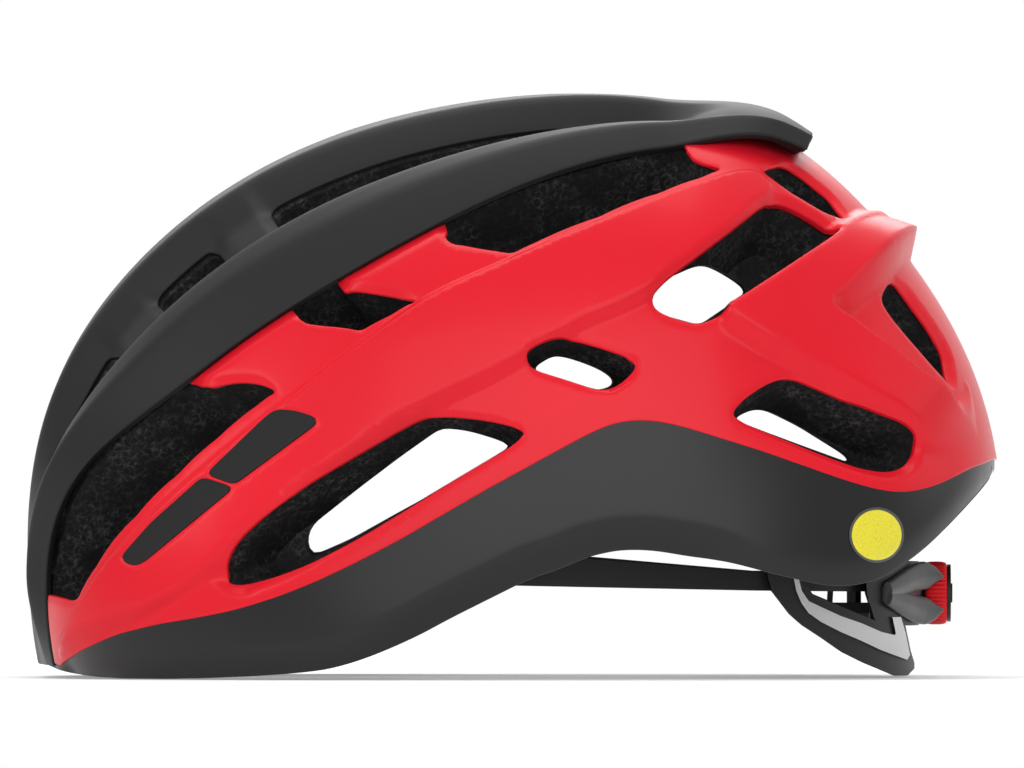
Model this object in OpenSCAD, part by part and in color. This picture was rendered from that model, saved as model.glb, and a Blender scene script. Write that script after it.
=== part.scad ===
// Cycling helmet, millimetres. +X rear, -Y wearer's left, +Z up.

/* [Shell] */
// half width of the helmet at the widest section
half_width = 104; // [96:112]
// thickness of the outer shells
shell_t = 1.2; // [0.8:0.1:2]
// glue line between shell and foam
bond_gap = 0.1; // [0.05:0.05:0.3]
// depth of the two crown channels
channel_depth = 8; // [5:0.5:10]
// rise of the crown tail above the rear shell
tail_lift = 6.5; // [4:0.5:9]
// rise of the rear lip
lip_rise = 6; // [3:0.5:8]
// rise of the long rib on each side shell
rib_rise = 2.4; // [1:0.1:4]
// rise of the rear wing on each side shell
wing_rise = 4; // [2:0.1:6]
// rise of the inlay panels and the disc above the shell
inlay_t = 0.5; // [0.3:0.1:1]

/* [Foam] */
// foam thickness at the sides
foam_side = 24; // [21:27]
// change of the foam thickness over the head, front and rear
foam_extra = 0; // [-2:0.5:3]
// radius of a strap anchor plug
anchor_r = 7; // [6:0.5:8]
// height of a strap anchor plug
anchor_h = 9; // [7:11]

/* [Slip liner] */
// gap between the foam and the slip liner
slip_gap = 2.6; // [2:0.1:3.5]
// thickness of the slip liner
slip_t = 1.2; // [0.8:0.1:1.6]
// radius of the crown stud
stud_r = 4; // [3:0.5:5]
// running clearance around studs, pins and shafts
run_gap = 0.08; // [0.04:0.02:0.1]
// thickness of the comfort pads
pad_t = 5; // [3:0.5:6]

/* [Cradle and bands] */
// outer radius of the cradle plate, seen from above
cradle_r = 52; // [51:0.5:53]
// thickness of the cradle plate
cradle_t = 2.5; // [2:0.1:3]
// thickness of a band
band_t = 1.5; // [1:0.1:2]
// radius of a temple pin
pin_r = 2; // [1.5:0.1:2.5]
// thickness of the height strip
strip_t = 1.6; // [1.2:0.1:2]

/* [Dial] */
// outer radius of the knob
knob_r = 9.3; // [8.6:0.1:9.8]
// length of the knob
knob_len = 6.6; // [6:0.2:7.6]
// number of ribs on the knob
knob_ribs = 24; // [16:2:30]
// module of pinion and racks
gear_m = 0.8; // [0.7:0.05:0.85]
// radius of the dial shaft
shaft_r = 2; // [1.6:0.1:2.2]

/* [Hidden] */
$fn = 48;

// the helmet surface is polar about the ear axis, a line along Y through this x and z
ear = [25, -8];
// every table below has one value per step of this angle, from the front over the top
step_deg = 15;
// radius of the middle section
outer_r = [159, 170.5, 182, 184.8, 182.8, 178.8, 176.7, 173.8, 161.5, 148.3, 134, 118];
// exponent of the cross section, higher is blunter
outer_p = [3, 3, 2.7, 2.5, 2.4, 2.35, 2.35, 2.35, 2.35, 2.4, 2.45, 2.5];
// thickness of the foam in the middle section
foam_t = [30, 32, 35, 32, 29, 28, 29.5, 32.5, 32.5, 40, 48, 52];
// half width of the crown shell
crown_y = [44, 47, 67, 74, 73.3, 67, 56, 40, 22, 20, 20, 20];
inner_p = 2.35;
crown_end = 110.5;
// shares of the crown half width where its creases run
crown_f = [0, 0.35, 0.5, 0.68, 0.75, 0.88, 1];
// rings of the surface
rings = [0, 7.5, 15, 22.5, 30, 37.5, 45, 52.5, 60, 67.5, 75, 82.5, 90, 97.5, 104, 110.5,
    116, 121, 124.5, 127, 133, 140, 147, 154, 162];
side_steps = 7;
pole_w = 88;

// lower edge of the helmet in side view, x and z
rim_edge = [[-160, 7], [-135, 3.5], [-128, 1], [-118, 0], [-96, 0], [-72, 1], [-60, 2],
    [-53, 3], [-43, 6], [-31, 11.5], [-20, 17.5], [-8, 23.5], [5, 30], [13, 32.5], [21, 36],
    [27, 37.5], [32, 38.3], [40, 38.3], [49, 37], [60, 35], [73, 31.3], [84, 28.7], [91, 27.2],
    [97, 27], [101, 27.5], [107, 29], [114, 33.4], [119.5, 37.7], [125.3, 43.2], [131, 49],
    [137, 55.4], [141, 60.6], [160, 78]];
// upper edge of the rim shell in side view
rim_top = [[-132, 2.6], [-125, 7.5], [-114, 12.5], [-102, 15.5], [-90, 17.5], [-79, 19.8],
    [-67, 23.6], [-56, 28], [-44, 33.7], [-32, 40], [-9, 53.4], [14, 66], [23, 70.8], [29, 73.2],
    [35, 74.2], [41, 74], [49, 72.4], [72, 65.3], [95, 57.2], [104, 54.5], [111, 53.4],
    [116, 53.8], [122, 55.3], [128, 58], [133, 60.6], [138, 62], [146, 60]];
// vents in side view, each one counter-clockwise, and the share its inner end keeps
vent_front = [[-130, 21.8], [-125.3, 22.3], [-119.5, 32], [-108, 47], [-96, 59], [-84.7, 68.7],
    [-73, 78.3], [-67.6, 82.7], [-72.5, 85.3], [-79, 85.8], [-86, 85.3], [-92.5, 83], [-105, 74.5],
    [-112, 68], [-118, 62.4], [-124, 53.7], [-127.6, 45], [-130.5, 36.3], [-131.7, 29]];
vent_upper = [[-62, 105.3], [-60.8, 102.3], [-53, 100.6], [-42.3, 99.5], [-34.8, 104], [-26.7, 108.8],
    [-32.5, 110.2], [-43.5, 112], [-50, 112.6], [-56.5, 110.8]];
vent_long = [[-20, 127.6], [-18, 125.3], [-9, 123.3], [0, 121.8], [14, 128], [25.5, 132.8],
    [37, 137.8], [48.7, 142.4], [61, 146.5], [54.5, 148.8], [43, 153], [25.5, 150], [14, 146.5],
    [2.3, 142.4], [-9, 137.2], [-18.6, 132.8]];
vent_side = [[-84, 30], [-82, 26], [-70, 28.4], [-57, 33], [-44, 39.7], [-21, 53.7], [-0.3, 66],
    [4.4, 70.2], [0.9, 72.8], [-9, 75], [-21, 76], [-27, 74.8], [-38, 68.2], [-55.7, 57],
    [-68.7, 47.6], [-79, 38.3]];
vent_small = [[3.5, 92.2], [5.2, 88.7], [14, 86], [24.4, 82.7], [29.6, 83.5], [36.8, 89.6],
    [34.2, 92.5], [25.5, 95.4], [17.4, 97.7], [12.8, 97.4], [6.7, 94.8]];
vent_rear = [[39.4, 108.8], [41.5, 105], [48.7, 102.4], [54.5, 101.2], [63, 105.3], [78, 115],
    [92.2, 124.4], [94.3, 126.7], [91.6, 130.2], [83.5, 135.4], [77.7, 137.8], [73.7, 137.2],
    [63, 128.5], [51.6, 119.5], [43, 113]];
vent_low = [[62.6, 76], [65, 74.2], [75, 70.2], [89, 64.7], [101, 60.6], [109.6, 59.5], [114.8, 61.2],
    [118, 66.4], [114.8, 71.3], [104, 76.6], [89, 83.2], [80, 87], [73.4, 85.3], [66, 80.3]];
vent_tail = [[72.5, 147.5], [80.6, 141.5], [90.8, 135.5], [96.5, 133.5], [92, 138.5], [83.5, 145],
    [78.6, 148]];
vent_exit = [[106, 108.8], [109, 104], [114, 98], [121, 90], [127.3, 83.2], [126, 94.3], [121, 102.4],
    [114, 111.7], [110.5, 114.8], [108, 113.4]];
// vents that run through along the surface normal, and the share their inner end keeps
deep_vents = [vent_front, vent_upper, vent_long, vent_tail, vent_exit];
deep_keep = [0.8, 0.8, 0.8, 0.75, 0.75];
// vents with a pocket and, in side view, a straight hole to the other side
pocket_vents = [vent_side, vent_small, vent_rear, vent_low];
pocket_keep = 0.82;
pocket_deep = 17;
hole_side = [[-21, 71.3], [-18, 71.6], [-12, 70.8], [-3.5, 68.2], [-0.3, 66.4], [-3.5, 64], [-15, 56.8],
    [-32.5, 47.3], [-47, 39.2], [-57, 34.8], [-59, 35.7], [-59.7, 39.2], [-58.3, 43.2], [-44, 54.5], [-32.5, 63.2]];
hole_small = [[5.5, 88.5], [11, 92.2], [14, 92.5], [18.3, 91.4], [24, 89.3], [27.6, 87.3], [29.3, 85.6],
    [29, 83.8], [25.5, 82.7], [22.6, 83.2], [14, 85.8]];
hole_rear = [[39.2, 108.5], [39.7, 110.5], [41.2, 112.5], [45.8, 115.4], [53.7, 118.9], [57.4, 118.6],
    [63, 115.4], [66.7, 112.8], [67.6, 111], [66.4, 109.6], [54.2, 101.3], [43, 104.4], [40, 106]];
hole_low = [[63.8, 74.2], [66, 75.7], [69, 76.9], [72, 76.9], [74.8, 76.3], [83.5, 72], [96.6, 63.8],
    [98, 62], [97, 61.8], [83.5, 66.7], [72, 71]];
through_holes = [hole_side, hole_small, hole_rear, hole_low];
// vents of the two channels: start and end angle, then two shares of the crown half width
channel_vents = [[23, 36, 0.52, 0.72], [42, 50, 0.52, 0.72], [56, 87, 0.52, 0.72]];
// vents of the middle: start and end angle
middle_vents = [[30, 45], [52, 66], [86, 97]];
middle_half = 8;
// outline of the two inlay panels in side view
panel_low = [[-110.5, 33.8], [-107.5, 32], [-105, 32.4], [-102.5, 34.3], [-79, 53.8], [-87.5, 56.5],
    [-102, 43.5]];
panel_high = [[-86, 57.7], [-78.5, 55], [-56, 71.6], [-55.2, 72.8], [-56, 73.7], [-61.5, 75.4],
    [-66.5, 75.7], [-69, 74.2]];
// outlines of the long rib and of the rear wing in side view
rib_line = [[-133, 3], [-129, 14.5], [-119.5, 31], [-108, 46], [-96.3, 56.5], [-84.7, 67.5], [-73, 77],
    [-61.5, 85], [-50, 94], [-34, 106], [-21, 114], [-3.5, 121.5], [14, 129], [43, 140.5], [60.3, 147],
    [72, 150], [80, 144], [76.5, 136.5], [69, 132.5], [60.3, 125.5], [53, 119.5], [41.5, 111], [31.3, 106],
    [19.7, 101.5], [3.8, 92], [-3.5, 88], [-25.2, 78], [-50, 61], [-73, 43], [-84.7, 33], [-92, 27],
    [-106, 18], [-120, 9]];
wing_line = [[61.5, 102.5], [72, 110.5], [83.5, 118.5], [94, 126.5], [101, 131], [107, 133.5], [113, 139], [124, 128],
    [118, 121.5], [110, 118], [102, 114.5], [95, 110.5], [91, 107.5], [105, 96.5], [118, 86], [131, 75.5],
    [139, 68], [134, 63], [122, 68], [112.5, 75.5], [101, 82.5], [83.5, 91], [72, 97]];
// leaning of the edges of the rib and of the wing, from level
rib_lean = 38;
wing_lean = 20;
disc_at = [105.3, 40.9];
disc_r = 8;
// room for the dial under the rear of the foam
bay = [80, 130, cradle_r + 1, 37];

function cubic(a, b, c, d, t) =
    0.5 * (2 * b + (c - a) * t + (2 * a - 5 * b + 4 * c - d) * t * t + (3 * b - a - 3 * c + d) * t * t * t);
function along(tab, u) =
    let (n = len(tab) - 1, s = min(max(u / step_deg, 0), n - 0.0001), i = floor(s))
    cubic(tab[max(i - 1, 0)], tab[i], tab[i + 1], tab[min(i + 2, n)], s - i);
function ease(a, b, v) = let (t = min(max((v - a) / (b - a), 0), 1)) t * t * (3 - 2 * t);
function mid_r(u) = along(outer_r, u);
function expo(u) = along(outer_p, u);
function inner_r(u) = mid_r(u) - along(foam_t, u) - foam_extra;
inner_half = half_width - foam_side;
function ray(u, rho, y) = [ear[0] - rho * cos(u), y, ear[1] + rho * sin(u)];
function w_of(u, y) = asin(pow(min(abs(y) / half_width, 1), expo(u) / 2));
function crown_half(u) = along(crown_y, u);
function angle_of(p) = atan2(p[1] - ear[1], ear[0] - p[0]);
function rho_of(p) = norm([p[0] - ear[0], p[1] - ear[1]]);
function w_at(p) = let (u = angle_of(p)) acos(min(1, pow(rho_of(p) / mid_r(u), expo(u) / 2)));

// half widths between which the rear lip runs out
lip_half = [26, 52];
// rise of the surface over the plain dome at angle u, width y
function channel(u, f) = -channel_depth * ease(17, 32, u) * (1 - ease(93, 103, u))
    * lookup(f, [[0, 0], [0.35, 0], [0.5, 1], [0.68, 1], [0.75, 0], [1, 0]]);
function rib(u, f) = (1 + 2.5 * (1 - ease(18, 40, u)))
    * lookup(f, [[0, 0], [0.75, 0], [0.88, 1], [1, 0]]);
function lip(u, y) = lip_rise * ease(111, 122, u) * (1 - ease(124.5, 127, u)) * (1 - ease(lip_half[0], lip_half[1], abs(y)));
function rise(u, y) = let (f = abs(y) / crown_half(u))
    (u < crown_end && f < 1 ? channel(u, f) + rib(u, f) : 0) + lip(u, y);
function outer_at(u, w, d) =
    let (e = 2 / expo(u), s = w < 0 ? -1 : 1, y = half_width * pow(sin(abs(w)), e), k = d + rise(u, y))
    ray(u, (mid_r(u) + k) * pow(cos(w), e), s * (half_width + k) * pow(sin(abs(w)), e));
function inner_at(u, w, d) =
    let (e = 2 / inner_p, s = w < 0 ? -1 : 1)
    ray(u, (inner_r(u) + d) * pow(cos(w), e), s * (inner_half + d) * pow(sin(abs(w)), e));

function half_w(u) = let (c = w_of(u, crown_half(u)))
    concat([for (f = crown_f) w_of(u, f * crown_half(u))],
        [for (k = [1:side_steps]) c + (pole_w - c) * k / side_steps]);
function both(list) = concat([for (i = [len(list) - 1:-1:1]) -list[i]], list);
function left(list) = [for (i = [len(list) - 1:-1:0]) -list[i]];
function outer_grid(d) = [for (u = rings) [for (w = both(half_w(u))) outer_at(u, w, d)]];
function left_grid(d) = [for (u = rings) [for (w = left(half_w(u))) outer_at(u, w, d)]];
inner_rings = [for (k = [0:15]) k * 10.8];
inner_w = [for (k = [0:9]) k * pole_w / 9];
function inner_grid(d) = [for (u = inner_rings) [for (w = both(inner_w)) inner_at(u, w, d)]];
function core(grid, at) = [for (i = [0:len(at) - 1]) [for (p = grid[i]) ray(at[i], 3, p[1])]];

// a closed skin between two grids of the same size; the right half is split as the left one's mirror image
module slab(top, bot) {
    n = len(top);
    m = len(top[0]);
    o = n * m;
    turn = top[0][m - 1][1] > 1 ? (m - 1) / 2 : m;
    flat = concat([for (r = top) for (p = r) p], [for (r = bot) for (p = r) p]);
    up = [for (i = [0:n - 2]) for (j = [0:m - 2])
        let (a = i * m + j, b = a + m) each
        j < turn ? [[a, b, a + 1], [a + 1, b, b + 1]] : [[a, b, b + 1], [a, b + 1, a + 1]]];
    down = [for (i = [0:n - 2]) for (j = [0:m - 2])
        let (a = o + i * m + j, b = a + m) each
        j < turn ? [[a, a + 1, b], [a + 1, b + 1, b]] : [[a, a + 1, b + 1], [a, b + 1, b]]];
    ends = [for (j = [0:m - 2]) let (a = j, b = (n - 1) * m + j) each
        [[a, a + 1, o + a], [a + 1, o + a + 1, o + a], [b, o + b, b + 1], [b + 1, o + b, o + b + 1]]];
    sides = [for (i = [0:n - 2]) let (a = i * m, b = i * m + m - 1) each
        [[a, o + a, a + m], [a + m, o + a, o + a + m], [b, b + m, o + b], [b + m, o + b + m, o + b]]];
    polyhedron(flat, [for (f = concat(up, down, ends, sides)) [f[2], f[1], f[0]]], convexity = 12);
}
// a plug between two rings of the same count
module plug(a, b) {
    n = len(a);
    mid = function(r) [for (k = [0:2]) [for (p = r) 1] * [for (p = r) p[k]] / n];
    pts = concat(a, b, [mid(a), mid(b)]);
    faces = [for (i = [0:n - 1]) let (j = (i + 1) % n) each
        [[i, n + j, j], [i, n + i, n + j], [i, j, 2 * n], [n + j, n + i, 2 * n + 1]]];
    polyhedron(pts, [for (f = faces) [f[2], f[1], f[0]]], convexity = 8);
}
module dome(d) {
    g = outer_grid(d);
    slab(g, core(g, rings));
}
module hollow(d) {
    g = inner_grid(d);
    slab(g, core(g, inner_rings));
}
module side_prism(points) {
    rotate([90, 0, 0]) linear_extrude(400, center = true) polygon(points);
}
module above_rim(lift) {
    side_prism(concat([for (p = rim_edge) [p[0], p[1] + lift]], [[160, 260], [-160, 260]]));
}
module mirrored() {
    children();
    mirror([0, 1, 0]) children();
}
cut_out = 14;
// vents of the left side; deep ones go through shell, foam and slip liner
function vent_uw(points) = [for (p = points) [angle_of(p), w_at(p)]];
function shrink(uw, keep) = let (c = [for (p = uw) 1] * uw / len(uw)) [for (p = uw) c + (p - c) * keep];
module deep_vent(points, keep) {
    uw = vent_uw(points);
    plug([for (p = uw) outer_at(p[0], -p[1], cut_out)],
        [for (q = shrink(uw, keep)) inner_at(q[0], -q[1], -cut_out)]);
}
module pocket_vent(points) {
    uw = vent_uw(points);
    plug([for (p = uw) outer_at(p[0], -p[1], cut_out)],
        [for (q = shrink(uw, pocket_keep)) outer_at(q[0], -q[1], -pocket_deep)]);
}
module through_hole(points, grow) {
    rotate([90, 0, 0]) linear_extrude(130) offset(delta = grow) polygon(points);
}
module side_vent_all(grow) {
    for (i = [0:len(deep_vents) - 1]) deep_vent(deep_vents[i], deep_keep[i]);
    for (p = pocket_vents) pocket_vent(p);
    for (p = through_holes) through_hole(p, grow);
}
// a vent between two angles and two shares of the crown half width
function strip_ring(v, grow, near) =
    let (a = v[0] - grow, b = v[1] + grow, n = 5)
    concat([for (k = [0:n]) [a + (b - a) * k / n, v[3]]], [for (k = [n:-1:0]) [a + (b - a) * k / n, v[2]]]);
module channel_vent(v) {
    r = [for (q = strip_ring(v, 0, 0)) [q[0], w_of(q[0], q[1] * crown_half(q[0]))]];
    plug([for (p = r) outer_at(p[0], -p[1], cut_out)], [for (p = r) inner_at(p[0], -p[1], -cut_out)]);
}
module middle_vent(v) {
    n = 5;
    a = [for (k = [0:n]) v[0] + (v[1] - v[0]) * k / n];
    h = [for (k = [0:n]) middle_half * (k == 0 || k == n ? 0.5 : 1)];
    r = concat([for (k = [0:n]) [a[k], -h[k]]], [for (k = [n:-1:0]) [a[k], h[k]]]);
    s = function(y) y < 0 ? -1 : 1;
    plug([for (p = r) outer_at(p[0], s(p[1]) * w_of(p[0], p[1]), cut_out)],
        [for (p = r) inner_at(p[0], s(p[1]) * w_of(p[0], p[1]), -cut_out)]);
}
module crown_vents() {
    mirrored() for (v = channel_vents) channel_vent(v);
    for (v = middle_vents) middle_vent(v);
}
// everything that belongs to the crown, thick enough to cut the side shells with
crown_rings = [for (u = rings) if (u <= crown_end) u];
function crown_grid(d, lift, k) = [for (u = crown_rings)
    [for (f = both(crown_f)) let (s = f < 0 ? -1 : 1)
        outer_at(u, s * w_of(u, k * abs(f) * crown_half(u)), d + lift * ease(96, 108, u))]];
seam = 1.004;
module crown_wedge() {
    slab(crown_grid(20, 0, seam), crown_grid(-20, 0, seam));
}
rim_zone = concat([for (p = rim_edge) if (p[0] > -133) p], [for (i = [len(rim_top) - 1:-1:0]) rim_top[i]]);

// root body: shells and foam

// strap anchors sit in the middle of the foam wall
anchor_front = [-36, half_width - foam_side / 2 - 3.3, 12];
anchor_rear = [62, half_width - foam_side / 2 - 5.2, 36.5];
plug_gap = 0.15;
stud_x = -6;
stud_u = atan2(sqrt(pow(150, 2) - pow(ear[0] - stud_x, 2)), ear[0] - stud_x);
stud_top = inner_at(stud_u, 0, 0)[2];
stud_deep = 8;
cap_gap = 1.6;
cap_t = 1.6;
cap_r = 7;
slip_low = stud_top - slip_gap - slip_t;

module anchor_place(at, side) {
    translate([at[0], side * at[1], at[2]]) children();
}
// half length and half width of a strap slot
slot_half = [5, 1.4];
module strap_anchor() {
    difference() {
        cylinder(r = anchor_r, h = anchor_h);
        translate([-slot_half[0], -slot_half[1], -1]) cube([2 * slot_half[0], 2 * slot_half[1], anchor_h + 2]);
    }
}
module foam_liner() {
    color([0.08, 0.08, 0.085]) resize([0, 0, 0]) difference() {
        intersection() {
            dome(-shell_t - bond_gap);
            above_rim(0);
        }
        hollow(0);
        mirrored() side_vent_all(0);
        crown_vents();
        translate([bay[0], -bay[2], -60]) cube([bay[1] - bay[0], 2 * bay[2], 60 + bay[3]]);
        for (s = [-1, 1]) for (a = [anchor_front, anchor_rear]) anchor_place(a, s)
            translate([0, 0, -40]) cylinder(r = anchor_r + plug_gap, h = anchor_h + 40 + plug_gap, $fn = 24);
        translate([stud_x, 0, stud_top - 10])
            cylinder(r = stud_r + plug_gap, h = stud_deep + 10 + plug_gap, $fn = 24);
    }
}
module crown_shell() {
    color([0.2, 0.2, 0.21]) resize([0, 0, 0]) difference() {
        intersection() {
            slab(crown_grid(0, tail_lift, 1), crown_grid(-shell_t, 0, 1));
            above_rim(0);
        }
        crown_vents();
    }
}
module left_layer(low, high) {
    slab(left_grid(high), left_grid(low));
}
// a plate that follows the left half of the surface, inside an outline seen along a leaning direction
function plate_grid(d) = [for (u = rings) [for (w = left(half_w(u)))
    let (y = half_width * pow(sin(abs(w)), 2 / expo(u))) outer_at(u, w, d - min(lip(u, y), d))]];
function seen(p, lean) =
    let (u = angle_of(p), q = rho_of(p) > mid_r(u) ? [p[0], 0, p[1]] : outer_at(u, -w_at(p), 0))
    [q[0], q[1] * sin(lean) + q[2] * cos(lean)];
module plate(line, lean, high) {
    intersection() {
        slab(plate_grid(high), left_grid(-shell_t / 2));
        rotate([90 - lean, 0, 0]) translate([0, 0, -50]) linear_extrude(300) polygon([for (p = line) seen(p, lean)]);
    }
}
module side_shell_left() {
    color([0.85, 0.1, 0.14]) resize([0, 0, 0]) difference() {
        union() {
            left_layer(-shell_t, 0);
            plate(rib_line, rib_lean, rib_rise);
            plate(wing_line, wing_lean, wing_rise);
        }
        crown_wedge();
        side_prism(concat([for (p = rim_top) [p[0], p[1] + 0.15]], [[170, 60], [170, -60], [-170, -60], [-170, 3]]));
        for (i = [0:len(deep_vents) - 1]) deep_vent(deep_vents[i], deep_keep[i]);
        for (p = pocket_vents) pocket_vent(p);
    }
}
module side_shell_right() {
    mirror([0, 1, 0]) side_shell_left();
}
module rim_shell() {
    color([0.16, 0.16, 0.165]) resize([0, 0, 0]) difference() {
        intersection() {
            slab(outer_grid(0), outer_grid(-shell_t));
            side_prism(rim_zone);
        }
        crown_wedge();
    }
}
module inlay_panels_left() {
    color([0.19, 0.19, 0.19]) resize([0, 0, 0]) intersection() {
        left_layer(rib_rise + bond_gap, rib_rise + bond_gap + inlay_t);
        union() {
            side_prism(panel_low);
            side_prism(panel_high);
        }
    }
}
module inlay_panels_right() {
    mirror([0, 1, 0]) inlay_panels_left();
}
module reflector_disc() {
    color([0.95, 0.88, 0.2]) resize([0, 0, 0]) intersection() {
        left_layer(bond_gap, bond_gap + inlay_t);
        translate([disc_at[0], 0, disc_at[1]]) rotate([90, 0, 0]) cylinder(r = disc_r, h = 400, center = true);
    }
}
module strap_anchor_front_left() {
    color([0.12, 0.12, 0.12]) anchor_place(anchor_front, -1) strap_anchor();
}
module strap_anchor_front_right() {
    color([0.12, 0.12, 0.12]) anchor_place(anchor_front, 1) strap_anchor();
}
module strap_anchor_rear_left() {
    color([0.12, 0.12, 0.12]) anchor_place(anchor_rear, -1) strap_anchor();
}
module strap_anchor_rear_right() {
    color([0.12, 0.12, 0.12]) anchor_place(anchor_rear, 1) strap_anchor();
}
module crown_stud() {
    color([0.3, 0.3, 0.31]) translate([stud_x, 0, slip_low - cap_gap - cap_t])
        cylinder(r = stud_r, h = stud_top + stud_deep - slip_low + cap_gap + cap_t);
}
module stud_cap() {
    color([0.2, 0.2, 0.2]) translate([stud_x, 0, slip_low - cap_gap - cap_t]) difference() {
        cylinder(r = cap_r, h = cap_t);
        translate([0, 0, -1]) cylinder(r = stud_r + run_gap, h = cap_t + 2);
    }
}

// slip liner body

slip_lift = 6;
hole_grow = 3;
slip_out = -slip_gap;
slip_in = -slip_gap - slip_t;
pad_out = slip_in - bond_gap;
pad_in = pad_out - pad_t;
band_z = [26.6, 34.5];
temple = [-50, 30.6];
eye_gap = 3.2;
eye_r = 5.5;
eye_t = 3;
// travel of the two bands
travel = 8;

module slip_layer(low, high) {
    slab(inner_grid(high), inner_grid(low));
}
module slip_liner() {
    color([0.3, 0.3, 0.31]) resize([0, 0, 0]) difference() {
        intersection() {
            slip_layer(slip_in, slip_out);
            above_rim(slip_lift);
        }
        mirrored() side_vent_all(hole_grow);
        crown_vents();
        translate([stud_x, 0, slip_low - 10]) cylinder(r = bush_r + bond_gap, h = 40, $fn = 32);
    }
}
bush_r = stud_r + 2.5;
bush_lip = 1.5;
// flanged bush in the slip liner that turns on the crown stud
module stud_bush() {
    color([0.2, 0.2, 0.2]) translate([stud_x, 0, slip_low]) difference() {
        union() {
            translate([0, 0, -cap_gap + run_gap]) cylinder(r = bush_r, h = slip_t + cap_gap - run_gap);
            translate([0, 0, slip_t + 0.1]) cylinder(r = bush_r + bush_lip, h = 0.9);
            cylinder(r = bush_r, h = slip_t + 0.6);
        }
        translate([0, 0, -5]) cylinder(r = stud_r + run_gap, h = 20);
    }
}
// boxes that bound the pads: low corner and size
brow_box = [[-160, -56, 14], [82, 112, 20]];
crown_box = [[-62, -26, 90], [112, 13, 80]];
side_box = [[12, -100, 46], [42, 60, 26]];
module pad_part() {
    resize([0, 0, 0]) intersection() {
        slip_layer(pad_in, pad_out);
        children();
    }
}
module brow_pad() {
    color([0.1, 0.1, 0.1]) pad_part() translate(brow_box[0]) cube(brow_box[1]);
}
module crown_pad_left() {
    color([0.1, 0.1, 0.1]) pad_part() translate(crown_box[0]) cube(crown_box[1]);
}
module crown_pad_right() {
    mirror([0, 1, 0]) crown_pad_left();
}
module side_pad_left() {
    color([0.1, 0.1, 0.1]) pad_part() translate(side_box[0]) cube(side_box[1]);
}
module side_pad_right() {
    mirror([0, 1, 0]) side_pad_left();
}
pin_len = eye_gap + eye_t + travel + 0.6;
pin_head = 1.6;
// distance from the middle plane to the face of the slip liner at the temple
temple_in = let (p = temple, u = angle_of(p), q = 1 - pow(rho_of(p) / (inner_r(u) + slip_in), inner_p))
    (inner_half + slip_in) * pow(q, 1 / inner_p);
module temple_pin_left() {
    color([0.3, 0.3, 0.3]) translate([temple[0], -temple_in - 0.5 * slip_t, temple[1]]) rotate([-90, 0, 0]) {
        cylinder(r = pin_r, h = pin_len + 0.5 * slip_t);
        translate([0, 0, pin_len + 0.5 * slip_t]) cylinder(r = pin_r + 1.5, h = pin_head);
    }
}
module temple_pin_right() {
    mirror([0, 1, 0]) temple_pin_left();
}
// face of the slip liner at the rear, where the height track sits
rear_face = [for (k = [0:40]) let (p = inner_at(162 - k, 0, slip_in)) [p[2], p[0]]];
track_back = lookup(48, rear_face);
strip_in = 6.5;
strip_r = track_back - strip_in - temple[0];
strip_half = 6;
track_gap = 0.4;
track_z = [40, 56];
strip_top = 58;
module strip_arc(grow) {
    translate([temple[0], 0, temple[1]]) rotate([90, 0, 0]) linear_extrude(2 * (strip_half + grow), center = true)
        difference() {
            circle(r = strip_r + strip_t / 2 + grow, $fn = 180);
            circle(r = strip_r - strip_t / 2 - grow, $fn = 180);
        }
}
module height_track() {
    color([0.3, 0.3, 0.3]) difference() {
        translate([track_back - strip_in - 8, -11, track_z[0]])
            cube([strip_in + 8.3, 22, track_z[1] - track_z[0]]);
        strip_arc(track_gap);
    }
}

// cradle body

cradle_x = 66;
cradle_in = cradle_r - cradle_t;
dial_z = 23.8;
// side view of one wing of the yoke, x from the back of the ring
wing_out = [[-44.3, 34], [-44.3, 29], [-43, 24.7], [-40.3, 21.2], [-37.4, 17.4], [-34.5, 14.8],
    [-28.7, 11], [-23, 7], [-17, 4], [-11.3, 1.6], [-7.5, 0], [-3.5, 0], [-1.4, 2], [-1.4, 3.8],
    [-2.6, 7.3], [-4, 13.9], [-5.5, 18.9], [-5.5, 34], [-16.5, 34], [-15.3, 23.5], [-13, 16],
    [-31, 23.5], [-33.5, 27], [-34.5, 34]];
wing_pale = [[-37, 33], [-36.8, 28.7], [-36, 24.7], [-34.5, 21.2], [-32.4, 18.3], [-28.7, 15.7],
    [-23, 12.8], [-17, 10.2], [-11.3, 7.5], [-5.5, 5.3], [-3.6, 4.6], [-2.8, 6], [-4, 12], [-5.5, 17],
    [-8, 17], [-7, 12.3], [-7.4, 11.8], [-11.3, 12.8], [-17, 15.3], [-23, 17.4], [-28.7, 20],
    [-32.4, 21.8], [-34.4, 24.7], [-35.4, 28.7], [-35.6, 33]];
module ring_wall(r0, r1, z0, z1) {
    translate([cradle_x, 0, z0]) difference() {
        cylinder(r = r1, h = z1 - z0, $fn = 120);
        translate([0, 0, -1]) cylinder(r = r0, h = z1 - z0 + 2, $fn = 120);
    }
}
module half_prism(points) {
    translate([cradle_x + cradle_r, 0, 0]) rotate([90, 0, 0]) linear_extrude(2 * cradle_r) polygon(points);
}
plate_z = [dial_z - 9.3, dial_z + 9.2];
plate_half = 30;
module cradle_yoke() {
    color([0.13, 0.13, 0.13]) difference() {
        intersection() {
            ring_wall(cradle_in, cradle_r, -1, 40);
            union() {
                mirrored() half_prism(wing_out);
                translate([cradle_x, -plate_half, plate_z[0]])
                    cube([80, 2 * plate_half, plate_z[1] - plate_z[0]]);
            }
        }
        translate([cradle_x, 0, dial_z]) rotate([0, 90, 0]) cylinder(r = shaft_r + run_gap, h = 80);
    }
}
pale_t = 0.8;
module wing_inlay_left() {
    color([0.9, 0.9, 0.9]) intersection() {
        ring_wall(cradle_r, cradle_r + pale_t, -1, 40);
        half_prism(wing_pale);
    }
}
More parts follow.
